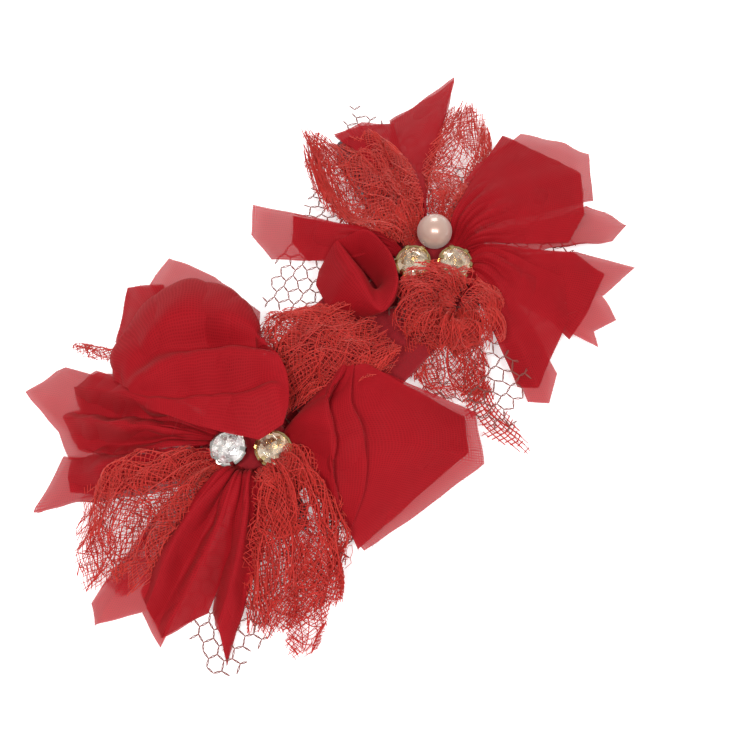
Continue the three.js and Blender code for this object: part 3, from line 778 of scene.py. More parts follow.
@dataclass(frozen=True)
class Drape:
    """One layer of cloth, on ribs that run from the gathered root out to the cut edge."""

    ribs: Ribs
    gathered: bool = True  # each rib then starts under the beads
    gathers: float = 4.0  # small folds across the root
    gather_depth: float = 0.7
    pleats: float = 0.0  # folds that run out to the edge
    pleat_depth: float = 0.0
    crumple: float = 0.35
    drop: float = 0.0  # how far below its ribs it lies
    seed: int = 1
    across: int = 12
    along: int = 9

    ROOT_RADIUS = 6.0
    ROOT_HEIGHT = 15.3

    def stations(self) -> np.ndarray:
        """Adds a point at each rib's root if the layer is gathered.

        Returns:
            The ribs' points, from the flower's centre.
        """
        ribs = np.array(self.ribs, float)
        if not self.gathered:
            return ribs
        middle = ribs[:, 0, :2].mean(axis=0)
        heading = 0.5 * ribs[:, 0, :2] / np.linalg.norm(ribs[:, 0, :2], axis=1, keepdims=True) \
            + 0.5 * middle / np.linalg.norm(middle)
        height = np.full((len(ribs), 1), self.ROOT_HEIGHT)
        start = np.concatenate([heading * self.ROOT_RADIUS, height], axis=1)
        return np.concatenate([start[:, None], ribs], axis=1)

    def cut(self) -> tuple[float, float, float]:
        """Works out the flat piece that spans the ribs, before it is gathered, pleated or rumpled.

        Returns:
            Its mean width, which is what it takes of a strip when wedges are cut tip to tail, its greatest
            length and its area, in millimetres.
        """
        points = self.stations()
        rows = np.linalg.norm(np.diff(points, axis=0), axis=2).sum(axis=0)
        steps = np.linalg.norm(np.diff(points, axis=1), axis=2)
        width = ((rows[1:] + rows[:-1]) / 2 * steps.mean(axis=0)).sum() / steps.mean(axis=0).sum()
        panels = np.cross(points[1:, 1:] - points[:-1, :-1], points[1:, :-1] - points[:-1, 1:])
        return float(width), float(steps.sum(axis=1).max()), float(np.linalg.norm(panels, axis=2).sum() / 2)

    def surface(self, centre: np.ndarray) -> np.ndarray:
        """Shapes the layer.

        Args:
            centre: The flower's centre, x and y.

        Returns:
            A grid of points, across the cloth and then along it.
        """
        lines = np.stack([smooth_line(rib, self.along) for rib in self.stations()])
        round_way, flat_way = smooth_line(lines, self.across), straight_line(lines, self.across)
        t = np.linspace(0, 1, lines.shape[1])[None, :, None]
        s = np.linspace(0, 1, round_way.shape[0])[:, None, None]
        flat_share = np.clip((t - 0.6) / 0.4, 0, 1) ** 2
        grid = round_way * (1 - flat_share) + flat_way * flat_share
        phase = np.random.default_rng(self.seed).uniform(0, 6.28, 8)
        side = np.gradient(grid, axis=0)
        side /= np.maximum(np.linalg.norm(side, axis=2, keepdims=True), 1e-6)
        normal = np.cross(side, np.gradient(grid, axis=1))
        normal /= np.maximum(np.linalg.norm(normal, axis=2, keepdims=True), 1e-6)
        normal *= np.where(normal[..., 2:].mean() < 0, -1, 1)
        gather = np.sin(2 * math.pi * self.gathers * s + phase[0]) \
            * np.sin(math.pi * np.minimum(t * 1.4, 1)) ** 2
        pleat = np.sin(2 * math.pi * self.pleats * s + phase[1] + 1.2 * np.sin(3 * t + phase[2])) \
            * np.clip(t * 3, 0, 1)
        waves = sum(np.sin(grid[..., :1] * kx + grid[..., 1:2] * ky + phase[i]) for i, (kx, ky) in
                    enumerate([(0.35, 0.1), (-0.15, 0.42), (0.6, -0.5), (0.2, 0.8)], start=3)) / 2
        lift = self.gather_depth * gather + self.pleat_depth * pleat \
            + self.crumple * waves * np.clip(t * 2, 0, 1)
        grid = grid + normal * lift + side * self.pleat_depth * 0.6 * np.cos(
            2 * math.pi * self.pleats * s + phase[1]) * np.clip(t * 3, 0, 1) * np.sin(math.pi * s)
        grid[..., 2] = np.maximum(grid[..., 2] - self.drop, CLOTH_FLOOR)
        grid[..., :2] += centre
        return grid

    @staticmethod
    def cloth_places(grid: np.ndarray) -> np.ndarray:
        """Works out where each point lies on the flat cloth.

        Args:
            grid: The layer's points.

        Returns:
            Millimetres across and along for each point.
        """
        across = np.linalg.norm(np.diff(grid, axis=0), axis=2)
        along = np.linalg.norm(np.diff(grid, axis=1), axis=2)
        u = np.concatenate([[0], np.cumsum(across[:, -len(across[0]) // 3:].mean(axis=1))])
        v = np.concatenate([[0], np.cumsum(along.mean(axis=0))])
        return np.stack(np.broadcast_arrays(u[:, None], v[None, :]), axis=-1)


def flat_cut(layers: tuple[Drape, ...]) -> dict:
    """It comes from the ribs and never from the finished mesh.

    Args:
        layers: The layers, cut side by side from one strip.

    Returns:
        The flat size and area in metres.
    """
    widths, lengths, areas = zip(*(layer.cut() for layer in layers))
    return {"flat": (sum(widths) * MM, max(lengths) * MM), "area": sum(areas) * MM * MM}


@dataclass
class ChiffonPetal:
    """A square of chiffon, folded and gathered, whose layers reach to different edges."""

    name: str
    layers: tuple[Drape, ...]

    FRAY_SPACING = 2.6  # mm; a real edge frays more closely, too finely to show
    FRAY_RADIUS = 0.035

    def build(self, flower: str, centre: np.ndarray, finishes: Finishes) -> bpy.types.Object:
        """Makes the petal and the loose yarn ends on its cut edges.

        Args:
            flower: Which flower it is sewn into.
            centre: The flower's centre.
            finishes: The finishes.

        Returns:
            The petal.
        """
        shell, frays = Shell(), Shell()
        chance = np.random.default_rng(len(self.name) + 7 * len(self.layers))
        for layer in self.layers:
            grid = layer.surface(centre)
            places = Drape.cloth_places(grid)
            shell.add(grid, grid_faces(*grid.shape[:2]), places)
            self.fray(frays, grid, chance)
        name = f"{flower}_{self.name}"
        petal = shell.piece(name + "_cloth", "chiffon", finishes.chiffon, (name,))
        ends = frays.piece(name + "_frayed_yarns", "chiffon", finishes.thread)
        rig.sheet(petal, held="gathered", rests_on=[f"{flower}_gather_thread"], with_pieces=[ends],
                 **flat_cut(self.layers))
        return petal

    def fray(self, frays: Shell, grid: np.ndarray, chance: np.random.Generator) -> None:
        """Adds short yarn ends along the layer's outer edge.

        Args:
            frays: Where they are gathered.
            grid: The layer's points.
            chance: The random draws.
        """
        edge, inner = grid[:, -1], grid[:, -3]
        steps = np.linalg.norm(np.diff(edge, axis=0), axis=1)
        count = max(int(steps.sum() / self.FRAY_SPACING), 4)
        at = np.sort(chance.uniform(0, len(edge) - 1.001, count))
        low = at.astype(int)
        share = (at - low)[:, None]
        start = edge[low] * (1 - share) + edge[low + 1] * share
        out = start - (inner[low] * (1 - share) + inner[low + 1] * share)
        out /= np.linalg.norm(out, axis=1, keepdims=True)
        out += chance.normal(0, 0.45, out.shape)
        length = chance.gamma(1.6, 0.32, (count, 1))
        middle = start + out * length * 0.5
        tip = middle + (out + chance.normal(0, 0.5, out.shape)) * length * 0.5
        for points in (middle, tip):
            points[:, 2] = np.maximum(points[:, 2], THREAD_FLOOR)
        add_threads(frays, np.stack([start - out * 0.3, middle], axis=1), self.FRAY_RADIUS)
        add_threads(frays, np.stack([middle, tip], axis=1), self.FRAY_RADIUS * 0.8)


# ---------------------------------------------------------------- lace and net


@dataclass(frozen=True)
class Motif:
    """A leaf of the lace: its middle, length, width and heading in degrees, on the flat lace."""

    u: float
    v: float
    length: float
    width: float
    heading: float

    def place(self, p: np.ndarray, q: np.ndarray) -> np.ndarray:
        """Turns distances along and across the leaf into places on the lace."""
        c, s = math.cos(math.radians(self.heading)), math.sin(math.radians(self.heading))
        return np.stack([self.u + p * c - q * s, self.v + p * s + q * c], axis=-1)

    def edge(self, p: np.ndarray) -> np.ndarray:
        """Returns the half width at a distance along the leaf."""
        return np.maximum(self.width / 2 * (1 - (2 * p / self.length) ** 2), 0)

    def holds(self, points: np.ndarray) -> np.ndarray:
        """Says which places lie inside the leaf.

        Args:
            points: Places on the lace, n by 2.

        Returns:
            Whether each is inside.
        """
        c, s = math.cos(math.radians(self.heading)), math.sin(math.radians(self.heading))
        x, y = points[:, 0] - self.u, points[:, 1] - self.v
        p, q = x * c + y * s, y * c - x * s
        return (np.abs(p) < self.length / 2) & (np.abs(q) < self.edge(p))


def chained(line: np.ndarray) -> np.ndarray:
    """Cuts a row of places into runs from each one to the next."""
    return np.stack([line[:-1], line[1:]], axis=1)


@dataclass(frozen=True)
class LacePattern:
    """Corded lace: leaves filled with a square mesh, outlined in cord, on a ground of six-sided net.

    A worn raschel lace also carries loose floats, which lie across it and make it look dense and hairy.
    """

    width: float
    length: float
    seed: int
    net_cell: float = 2.2  # mm; coarse enough to show
    mesh_spacing: float = 1.0  # mm; likewise
    mesh_step: float = 1.7  # mm between the points at which a mesh thread can bend
    unevenness: float = 0.28  # mm that the ground's corners stray
    leaf_length: float = 17.0
    leaf_width: float = 10.5
    repeat: tuple[float, float] = (13.0, 11.0)
    notch: float = 4.0  # how deep the scissors cut round the leaves
    one_leaf: bool = False  # cut out round one leaf, at its far end
    float_share: float = 0.025  # loose floats for each square millimetre

    def leaves(self) -> list[Motif]:
        """Sets out the leaves, in offset rows that lean left and right in turn.

        Returns:
            The leaves.
        """
        if self.one_leaf:
            return [Motif(self.width / 2, self.length - 12.0, 25.0, 13.0, 90)]
        chance = np.random.default_rng(self.seed)
        found = []
        for row in range(-1, int(self.length / self.repeat[1]) + 2):
            for column in range(-1, int(self.width / self.repeat[0]) + 2):
                du, dv, turn = chance.uniform(-1.5, 1.5), chance.uniform(-1.2, 1.2), chance.uniform(-15, 15)
                u, v = (column + 0.5 * (row % 2)) * self.repeat[0] + du, row * self.repeat[1] + dv
                lean = (55 if row % 2 else 125) + turn
                found.append(Motif(u, v, self.leaf_length, self.leaf_width, lean))
        return found

    def kept(self, runs: np.ndarray) -> np.ndarray:
        """Keeps the runs that lie on the cut piece.

        Args:
            runs: Each run's two places, n by 2 by 2.

        Returns:
            The runs that are kept.
        """
        middle = runs.mean(axis=1)
        u, v = middle[:, 0], middle[:, 1]
        scallop, snip = 0.5 + 0.5 * np.sin(u * 0.62 + self.seed), 0.6 + 0.4 * np.sin(u * 1.7)
        edge = self.length - self.notch * scallop * snip
        sides = 0.04 * self.width * (1 + np.sin(v * 0.7 + self.seed))
        return runs[(u > sides) & (u < self.width - sides) & (v > 0) & (v < edge)]

    def ground(self, leaves: list[Motif]) -> np.ndarray:
        """Makes the six-sided net between the leaves.

        Args:
            leaves: The leaves, which are left clear.

        Returns:
            The runs of thread.
        """
        side, half = self.net_cell / math.sqrt(3), self.net_cell / 2
        runs = []
        for row in range(int(self.length / (1.5 * side)) + 2):
            for column in range(int(self.width / self.net_cell) + 2):
                x, y = (column + 0.5 * (row % 2)) * self.net_cell, row * 1.5 * side
                corner = [(x + half, y + side / 2), (x, y + side), (x - half, y + side / 2),
                          (x - half, y - side / 2)]
                runs += list(zip(corner, corner[1:]))
        runs = np.array(runs, float)
        runs += self.unevenness * np.sin(runs[..., ::-1] * 1.9 + self.seed)
        middle = runs.mean(axis=1)
        free = np.ones(len(runs), bool)
        for leaf in leaves:
            free &= ~leaf.holds(middle)
        return self.kept(runs[free])

    def mesh(self, leaves: list[Motif]) -> np.ndarray:
        """Makes the square mesh inside the leaves.

        Args:
            leaves: The leaves.

        Returns:
            The runs of thread.
        """
        runs = []
        for leaf in leaves:
            for p in np.arange(-leaf.length / 2, leaf.length / 2, self.mesh_spacing)[1:]:
                reach = leaf.edge(np.array(p))
                steps = max(int(2 * reach / self.mesh_step), 1)
                q = np.linspace(-reach, reach, steps + 1)
                runs.append(chained(leaf.place(np.full_like(q, p), q)))
            for q in np.arange(-leaf.width / 2, leaf.width / 2, self.mesh_spacing)[1:]:
                reach = leaf.length / 2 * math.sqrt(max(1 - abs(2 * q / leaf.width), 0))
                p = np.linspace(-reach, reach, max(int(2 * reach / self.mesh_step), 1) + 1)
                runs.append(chained(leaf.place(p, np.full_like(p, q))))
        return self.kept(np.concatenate(runs))

    def cords(self, leaves: list[Motif]) -> np.ndarray:
        """Makes the cord: the leaves' outlines, their midribs and the stems that join them.

        Args:
            leaves: The leaves.

        Returns:
            The runs of cord.
        """
        runs = []
        for leaf in leaves:
            p = np.linspace(-leaf.length / 2, leaf.length / 2, 15)
            runs += [chained(leaf.place(p, leaf.edge(p))), chained(leaf.place(p, -leaf.edge(p)))]
            stem = np.linspace(-0.2, 1.0, 12)
            runs.append(chained(leaf.place(leaf.length * stem, 1.6 * np.sin(4 * stem))))
        return self.kept(np.concatenate(runs))

    def floats(self) -> np.ndarray:
        """Makes the loose floats, which wander over the lace in curls.

        Returns:
            The runs of thread.
        """
        chance = np.random.default_rng(self.seed + 1)
        count, steps = max(int(self.width * self.length * self.float_share), 1), 12
        heading = chance.uniform(0, 2 * math.pi, (count, 1)) \
            + np.cumsum(chance.normal(0, 0.3, (count, steps)) + chance.normal(0, 0.14, (count, 1)), axis=1)
        stride = chance.uniform(0.5, 1.3, (count, 1))
        start = chance.uniform((0, 0), (self.width, self.length), (count, 2))
        path = start[:, None] + np.cumsum(np.stack([np.cos(heading), np.sin(heading)], axis=2)
                                          * stride[:, None], axis=1)
        return self.kept(np.stack([path[:, :-1], path[:, 1:]], axis=2).reshape(-1, 2, 2))


def laid_on(grid: np.ndarray, width: float, length: float, runs: np.ndarray, lift: float) -> np.ndarray:
    """Carries runs of thread from flat lace onto a draped surface, and drops those that fall beside it.

    Args:
        grid: The surface's points, across and along.
        width: The flat lace's width.
        length: The flat lace's length.
        runs: Each run's two places, n by 2 by 2.
        lift: How far above the surface the thread lies.

    Returns:
        Each kept run's two points, n by 2 by 3.
    """
    t = np.clip(runs[..., 1] / length, 0, 1) * (grid.shape[1] - 1.001)
    # The lace is cut narrower towards its root, so its threads keep their spacing there.
    widths = np.linalg.norm(np.diff(grid, axis=0), axis=2).sum(axis=0)
    narrowed = np.interp(t, np.arange(len(widths)), widths / width)
    s = 0.5 + (runs[..., 0] / width - 0.5) / narrowed
    kept = np.all((s > 0) & (s < 1), axis=1)
    s, t = s[kept] * (grid.shape[0] - 1.001), t[kept]
    i, j = s.astype(int), t.astype(int)
    a, b = (s - i)[..., None], (t - j)[..., None]
    low = grid[i, j] * (1 - a) + grid[i + 1, j] * a
    high = grid[i, j + 1] * (1 - a) + grid[i + 1, j + 1] * a
    points = low * (1 - b) + high * b
    points[..., 2] = np.maximum(points[..., 2] + lift, THREAD_FLOOR)
    return points


@dataclass
class LacePetal:
    """A cut piece of corded lace, gathered and rumpled, in one or more layers of real thread."""

    name: str
    layers: tuple[Drape, ...]
    # Thicker than lace thread usually is, which is too fine to show.
    net_radius: float = 0.075
    mesh_radius: float = 0.088
    cord_radius: float = 0.13
    one_leaf: bool = False

    CORD_LIFT = 0.15
    FLOAT_LIFT = 0.35

    def build(self, flower: str, centre: np.ndarray, finishes: Finishes) -> bpy.types.Object:
        """Makes the lace.

        Args:
            flower: Which flower it is sewn into.
            centre: The flower's centre.
            finishes: The finishes.

        Returns:
            The lace.
        """
        shell = Shell()
        for layer in self.layers:
            grid = layer.surface(centre)
            places = Drape.cloth_places(grid)
            width, length = (float(x) for x in places[-1, -1])
            pattern = LacePattern(width, length, layer.seed, one_leaf=self.one_leaf)
            leaves = pattern.leaves()
            for runs, radius, lift in ((pattern.ground(leaves), self.net_radius, 0.0),
                                       (pattern.mesh(leaves), self.mesh_radius, 0.0),
                                       (pattern.cords(leaves), self.cord_radius, self.CORD_LIFT),
                                       (pattern.floats(), self.net_radius, self.FLOAT_LIFT)):
                add_threads(shell, laid_on(grid, width, length, runs, lift), radius)
        name = f"{flower}_{self.name}"
        lace = shell.piece(name + "_threads", "lace", finishes.lace, (name,))
        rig.sheet(lace, held="gathered", rests_on=[f"{flower}_gather_thread"], **flat_cut(self.layers))
        return lace


@dataclass
class NetSkirt:
    """A four-cornered piece of coarse six-sided net under the petals, whose corners show between them."""

    corners: tuple[tuple[float, float], ...]  # heading in degrees and reach of each, anticlockwise
    cell: float = 3.3
    strand_radius: float = 0.112  # of each of the two strands that are twisted together
    inner_radius: float = 5.0
    flat_radius: float = 15.0
    top: float = 12.4  # height over the felt
    fall: float = 11.6  # from there to the corners
    seed: int = 3

    def height(self, radius: np.ndarray, heading: np.ndarray) -> np.ndarray:
        """Works out how high the net lies: flat on the felt, then drooping in waves.

        Args:
            radius: Distances from the centre.
            heading: Their headings, in radians.

        Returns:
            The heights.
        """
        reach = max(corner[1] for corner in self.corners)
        droop = np.clip((radius - self.flat_radius) / (reach - self.flat_radius), 0, 1)
        wave = np.sin(5 * heading + self.seed) * droop * (1 - droop) * 2.5
        return self.top - self.fall * droop ** 0.8 + wave

    def inside(self, x: np.ndarray, y: np.ndarray) -> np.ndarray:
        """Says which places lie on the piece, whose edge is cut a little unevenly.

        Args:
            x: The places' distances along X from the centre.
            y: Their distances along Y.

        Returns:
            Whether each is on the piece.
        """
        corners = [(reach * math.cos(math.radians(heading)), reach * math.sin(math.radians(heading)))
                   for heading, reach in self.corners]
        kept = np.ones(x.shape, bool)
        for (ax, ay), (bx, by) in zip(corners, corners[1:] + corners[:1]):
            depth = ((bx - ax) * (y - ay) - (by - ay) * (x - ax)) / math.hypot(bx - ax, by - ay)
            kept &= depth > 0.8 * np.sin(x * 0.8 + y * 0.7 + self.seed)
        return kept

    def build(self, flower: str, centre: np.ndarray, finishes: Finishes) -> bpy.types.Object:
        """Makes the net of twisted pairs of strands.

        Args:
            flower: Which flower it belongs to.
            centre: The flower's centre.
            finishes: The finishes.

        Returns:
            The net.
        """
        reach = max(corner[1] for corner in self.corners)
        pattern = LacePattern(2 * reach, 2 * reach, self.seed, net_cell=self.cell, notch=0.0)
        runs = pattern.ground([]) - reach
        x, y = runs[..., 0], runs[..., 1]
        radius, heading = np.hypot(x, y), np.arctan2(y, x)
        points = np.stack([x + centre[0], y + centre[1], self.height(radius, heading)], axis=-1)
        clear = radius.min(axis=1) > self.inner_radius
        points = points[clear & self.inside(x.mean(axis=1), y.mean(axis=1))]
        shell = Shell()
        side = np.cross(points[:, 1] - points[:, 0], [0, 0, 1.0])
        side /= np.linalg.norm(side, axis=1, keepdims=True)
        middle = points.mean(axis=1)
        for sign in (-1, 1):
            bow = middle + side * sign * self.strand_radius * 1.3
            bow[:, 2] += sign * self.strand_radius
            add_threads(shell, np.stack([points[:, 0], bow], axis=1), self.strand_radius)
            add_threads(shell, np.stack([bow, points[:, 1]], axis=1), self.strand_radius)
        net = shell.piece(f"{flower}_net_skirt_threads", "net", finishes.net, (f"{flower}_net_skirt",))
        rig.sheet(net, held="draped", rests_on=["felt_backing_slab"], **self.cut())
        return net

    def cut(self) -> dict:
        """Returns:
            The flat size and area in metres.
        """
        turn = np.radians([heading for heading, _ in self.corners])
        reach = np.array([reach for _, reach in self.corners], float)
        x, y = reach * np.cos(turn), reach * np.sin(turn)
        whole = abs(float(np.sum(x * np.roll(y, -1) - np.roll(x, -1) * y))) / 2
        area = whole - math.pi * self.inner_radius ** 2
        return {"flat": (float(np.ptp(x)) * MM, float(np.ptp(y)) * MM), "area": area * MM * MM}


# ---------------------------------------------------------------- felt, beads and clips


def felt_slab(shell: Shell, outline: np.ndarray, bottom: float, top: float,
              chance: np.random.Generator) -> None:
    """Adds a slab of felt with soft rounded edges and a slightly uneven cut.

    Args:
        shell: The piece that it joins.
        outline: The plan outline, n by 2, about its own middle.
        bottom: The height of its underside.
        top: The height of its upper side.
        chance: The random draws.
    """
    middle = outline.mean(axis=0)
    half = (top - bottom) / 2
    turns = np.linspace(-math.pi / 2, math.pi / 2, 7)
    shares = (0.02, 0.35, 0.7, 0.9)
    rings = [(share, 0.0, bottom) for share in shares]
    rings += [(1.0, half * (math.cos(turn) - 1) * 0.8, (bottom + top) / 2 + half * math.sin(turn))
              for turn in turns]
    rings += [(share, 0.0, top) for share in reversed(shares)]
    out = outline - middle
    away = out / np.linalg.norm(out, axis=1, keepdims=True)
    fuzz = chance.normal(0, 0.06, (len(rings), len(outline), 1))
    count, flat = len(outline), len(shares)
    points = np.array([np.concatenate([middle + out * share + away * inset, np.full((count, 1), z)], axis=1)
                       for share, inset, z in rings])
    points[flat:-flat, :, :2] += away[None] * fuzz[flat:-flat]
    faces, cap = grid_faces(len(rings), count, closed=True), cap_faces(count)
    shell.add(points, np.concatenate([faces, cap[:, ::-1], cap + (len(rings) - 1) * count]))


@dataclass
class FeltBacking:
    """The strip of felt that both flowers are sewn to, and the small felt disc at the middle of each."""

    arc_steps: int = 40
    straight_steps: int = 30
    disc_steps: int = 48

    def build(self, finishes: Finishes) -> None:
        """Makes the slab and the discs, from the sizes of their CAD nodes.

        Args:
            finishes: The finishes.
        """
        low, high = node_box("felt_backing")
        radius, middle = (high[1] - low[1]) / 2, (low + high) / 2
        half = (high[0] - low[0]) / 2 - radius
        turn = np.linspace(-math.pi / 2, math.pi / 2, self.arc_steps, endpoint=False)
        run = np.linspace(half, -half, self.straight_steps, endpoint=False)
        right = np.stack([half + radius * np.cos(turn), radius * np.sin(turn)], axis=1)
        upper = np.stack([run, np.full_like(run, radius)], axis=1)
        outline = np.concatenate([right, upper, -right, -upper]) + middle[:2]
        chance = np.random.default_rng(5)
        shell = Shell()
        felt_slab(shell, outline, low[2], high[2], chance)
        slab = shell.piece("felt_backing_slab", "felt", finishes.felt, ("felt_backing",))
        size = (high - low) * MM
        area = (math.pi * radius ** 2 + 4 * half * radius) * MM * MM
        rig.sheet(slab, flat=(size[1], size[0]), held="laid", rests_on=["near_clip_glue_bead"], area=area)
        for flower in ("near", "far"):
            node = f"{flower}_centre_felt"
            low, high = node_box(node)
            turn = np.linspace(0, 2 * math.pi, self.disc_steps, endpoint=False)
            radius, middle = (high[0] - low[0]) / 2, (low + high) / 2
            outline = middle[:2] + radius * np.stack([np.cos(turn), np.sin(turn)], axis=1)
            shell = Shell()
            felt_slab(shell, outline, low[2], high[2], chance)
            disc = shell.piece(node + "_disc", "felt", finishes.felt, (node,))
            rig.sheet(disc, flat=(2 * radius * MM, 2 * radius * MM), held="laid",
                     area=math.pi * (radius * MM) ** 2, rests_on=[f"{flower}_gather_thread_twist"])


@dataclass
class GatherThread:
    """Two-ply sewing thread that draws the petals' roots together in a ring."""

    ring_radius: float = 7.0
    ply_radius: float = 0.17
    twists: int = 26
    steps: int = 320

    def build(self, flower: str, centre: np.ndarray, finishes: Finishes) -> bpy.types.Object:
        """Makes both plies, wound round each other.

        Args:
            flower: Which flower it gathers.
            centre: The flower's centre.
            finishes: The finishes.

        Returns:
            The thread.
        """
        low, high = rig.box(f"{flower}_gather_thread")
        height = (low.z + high.z) / 2 / MM
        shell = Shell()
        turn = np.linspace(0, 2 * math.pi * 0.995, self.steps)
        for ply in (0, math.pi):
            twist = turn * self.twists + ply
            radius = self.ring_radius + self.ply_radius * np.cos(twist)
            add_cord(shell, np.stack([centre[0] + radius * np.cos(turn), centre[1] + radius * np.sin(turn),
                                      height + self.ply_radius * np.sin(twist)], axis=1), self.ply_radius)
        node = f"{flower}_gather_thread"
        return shell.piece(node + "_twist", "thread", finishes.thread, (node,))


@dataclass
class BeadCluster:
    """A pearl and two cut stones in claw cups. The stones and cups keep their CAD meshes."""

    left_is_silver: bool
    rings: int = 40
    around: int = 64
    hole_radius: float = 0.45

    def build(self, flower: str, finishes: Finishes) -> None:
        """Dresses the cups and stones, and makes the pearl with its drilled hole.

        Args:
            flower: Which flower it sits on.
            finishes: The finishes.
        """
        dress(f"{flower}_left_cup", finishes.silver if self.left_is_silver else finishes.brass)
        dress(f"{flower}_left_stone", finishes.clear if self.left_is_silver else finishes.champagne)
        dress(f"{flower}_right_cup", finishes.brass)
        dress(f"{flower}_right_stone", finishes.champagne)
        low, high = node_box(f"{flower}_pearl")
        middle, radius = (low + high) / 2, (high[2] - low[2]) / 2
        # The drilled hole runs level, and its rim is slightly sunk.
        turn = np.linspace(0, math.pi, self.rings)
        rim = np.sin(turn) * radius
        lengthways = np.cos(turn) * radius
        sunk = rim < self.hole_radius
        dimple = np.sign(lengthways) * (radius - 0.5 * (1 - rim / self.hole_radius))
        lengthways = np.where(sunk, dimple, lengthways)
        spin = np.linspace(0, 2 * math.pi, self.around, endpoint=False)
        rim = np.maximum(rim, 0.05)
        points = np.stack(np.broadcast_arrays(lengthways[:, None], rim[:, None] * np.cos(spin),
                                              rim[:, None] * np.sin(spin)), axis=-1) + middle
        faces = grid_faces(self.rings, self.around, closed=True)
        cap = cap_faces(self.around)
        shell = Shell()
        shell.add(points, np.concatenate([faces, cap, cap[:, ::-1] + (self.rings - 1) * self.around]))
        shell.piece(f"{flower}_pearl_bead", "pearl", finishes.pearl, (f"{flower}_pearl",))


@dataclass
class AlligatorClip:
    """A two-prong steel clip, glued on crosswise: enamelled arms, a hinge pin and a coil spring."""

    heading: float = -20.0  # degrees from +X to the hinge pin
    wire_radius: float = 0.25
    coil_radius: float = 1.35
    half_coil: float = 1.55
    turns: float = 4.5
    leg: float = 10.0
    glue_half_width: float = 3.2
    glue_half_length: float = 13.0
    glue_half_height: float = 0.34

    def build(self, flower: str, centre: np.ndarray, finishes: Finishes) -> None:
        """Dresses the arms and the pin, and makes the spring and the glue.

        Args:
            flower: Which flower it holds.
            centre: The flower's centre.
            finishes: The finishes.
        """
        for part in ("upper_arm", "lower_arm"):
            dress(f"{flower}_clip_{part}", finishes.enamel)
        dress(f"{flower}_clip_hinge_pin", finishes.steel)
        self.spring(flower, finishes)
        self.glue(flower, centre, finishes)

    def placed(self, points: np.ndarray, centre: np.ndarray) -> np.ndarray:
        """Turns points from the clip's own axes, X along the pin and Y towards the nose, into the frame's.

        Args:
            points: The points, n by 3.
            centre: Where the clip's own axes start.

        Returns:
            The points in the frame.
        """
        c, s = math.cos(math.radians(self.heading)), math.sin(math.radians(self.heading))
        x, y = points[:, 0], points[:, 1]
        return np.stack([centre[0] + x * c - y * s, centre[1] + x * s + y * c, points[:, 2]], axis=1)

    def spring(self, flower: str, finishes: Finishes) -> None:
        """Makes the coil round the pin, with a leg under each arm, which winds up as the jaw opens.

        Args:
            flower: Which flower the clip holds.
            finishes: The finishes.
        """
        low, high = node_box(f"{flower}_clip_hinge_pin")
        pin = (low + high) / 2
        turn = np.linspace(0, 2 * math.pi * self.turns, int(28 * self.turns))
        advance = np.linspace(-self.half_coil, self.half_coil, len(turn))
        coil = np.stack([advance, self.coil_radius * np.sin(turn), pin[2] + self.coil_radius * np.cos(turn)],
                        axis=1)
        over = pin[2] + self.coil_radius
        upper = np.array([[-self.half_coil, y, over] for y in (-self.leg, -6.0, -3.0, -1.0)])
        lower = np.array([[self.half_coil, y, z] for y, z in
                          ((-1.0, 5.15), (-3.0, 5.15), (-6.5, 3.82), (-self.leg, 2.41))])
        shell = Shell()
        add_cord(shell, self.placed(np.concatenate([upper, coil, lower]), pin), self.wire_radius)
        spring = shell.piece(f"{flower}_clip_spring_coil", "spring_steel", finishes.steel,
                             (f"{flower}_clip_spring",), body="")
        ends = self.placed(np.array([[-self.half_coil, 0, pin[2]], [self.half_coil, 0, pin[2]]]), pin) * MM
        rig.blend(spring, "flowers", f"{flower}_jaw", start=tuple(ends[0]), end=tuple(ends[1]))

    def glue(self, flower: str, centre: np.ndarray, finishes: Finishes) -> None:
        """Makes the squeezed line of glue between the upper arm and the felt.

        Args:
            flower: Which flower the clip holds.
            centre: The flower's centre.
            finishes: The finishes.
        """
        low, high = node_box(f"{flower}_clip_glue")
        spin = np.linspace(0, 2 * math.pi, 96, endpoint=False)
        wobble = 1 + 0.07 * np.sin(5 * spin + 1) + 0.05 * np.sin(11 * spin)
        levels = np.linspace(-math.pi / 2, math.pi / 2, 11)
        rings = []
        for level in levels:
            reach = 0.25 + 0.75 * math.cos(level)
            height = (low[2] + high[2]) / 2 + self.glue_half_height * math.sin(level)
            plan = np.stack([self.glue_half_width * np.cos(spin) * wobble * reach,
                             self.glue_half_length * np.sin(spin) * wobble * reach * 0.96,
                             np.full_like(spin, height)], axis=1)
            rings.append(self.placed(plan, centre))
        faces, cap = grid_faces(len(rings), len(spin), closed=True), cap_faces(len(spin))
        shell = Shell()
        shell.add(np.array(rings), np.concatenate([faces, cap[:, ::-1], cap + (len(rings) - 1) * len(spin)]))
        shell.piece(f"{flower}_clip_glue_bead", "hot_glue", finishes.glue, (f"{flower}_clip_glue",))


# ---------------------------------------------------------------- the two flowers


def layers(ribs: Ribs, count: int, **details) -> tuple[Drape, ...]:
    """Stacks like layers of cloth, each a little below the last and rumpled in its own way.

    Args:
        ribs: The ribs that they share.
        count: How many layers.
        details: What else each Drape is given.

    Returns:
        The layers.
    """
    seed = details.pop("seed", 1)
    return tuple(Drape(ribs, drop=LAYER_STEP * i, seed=seed + i, **details) for i in range(count))


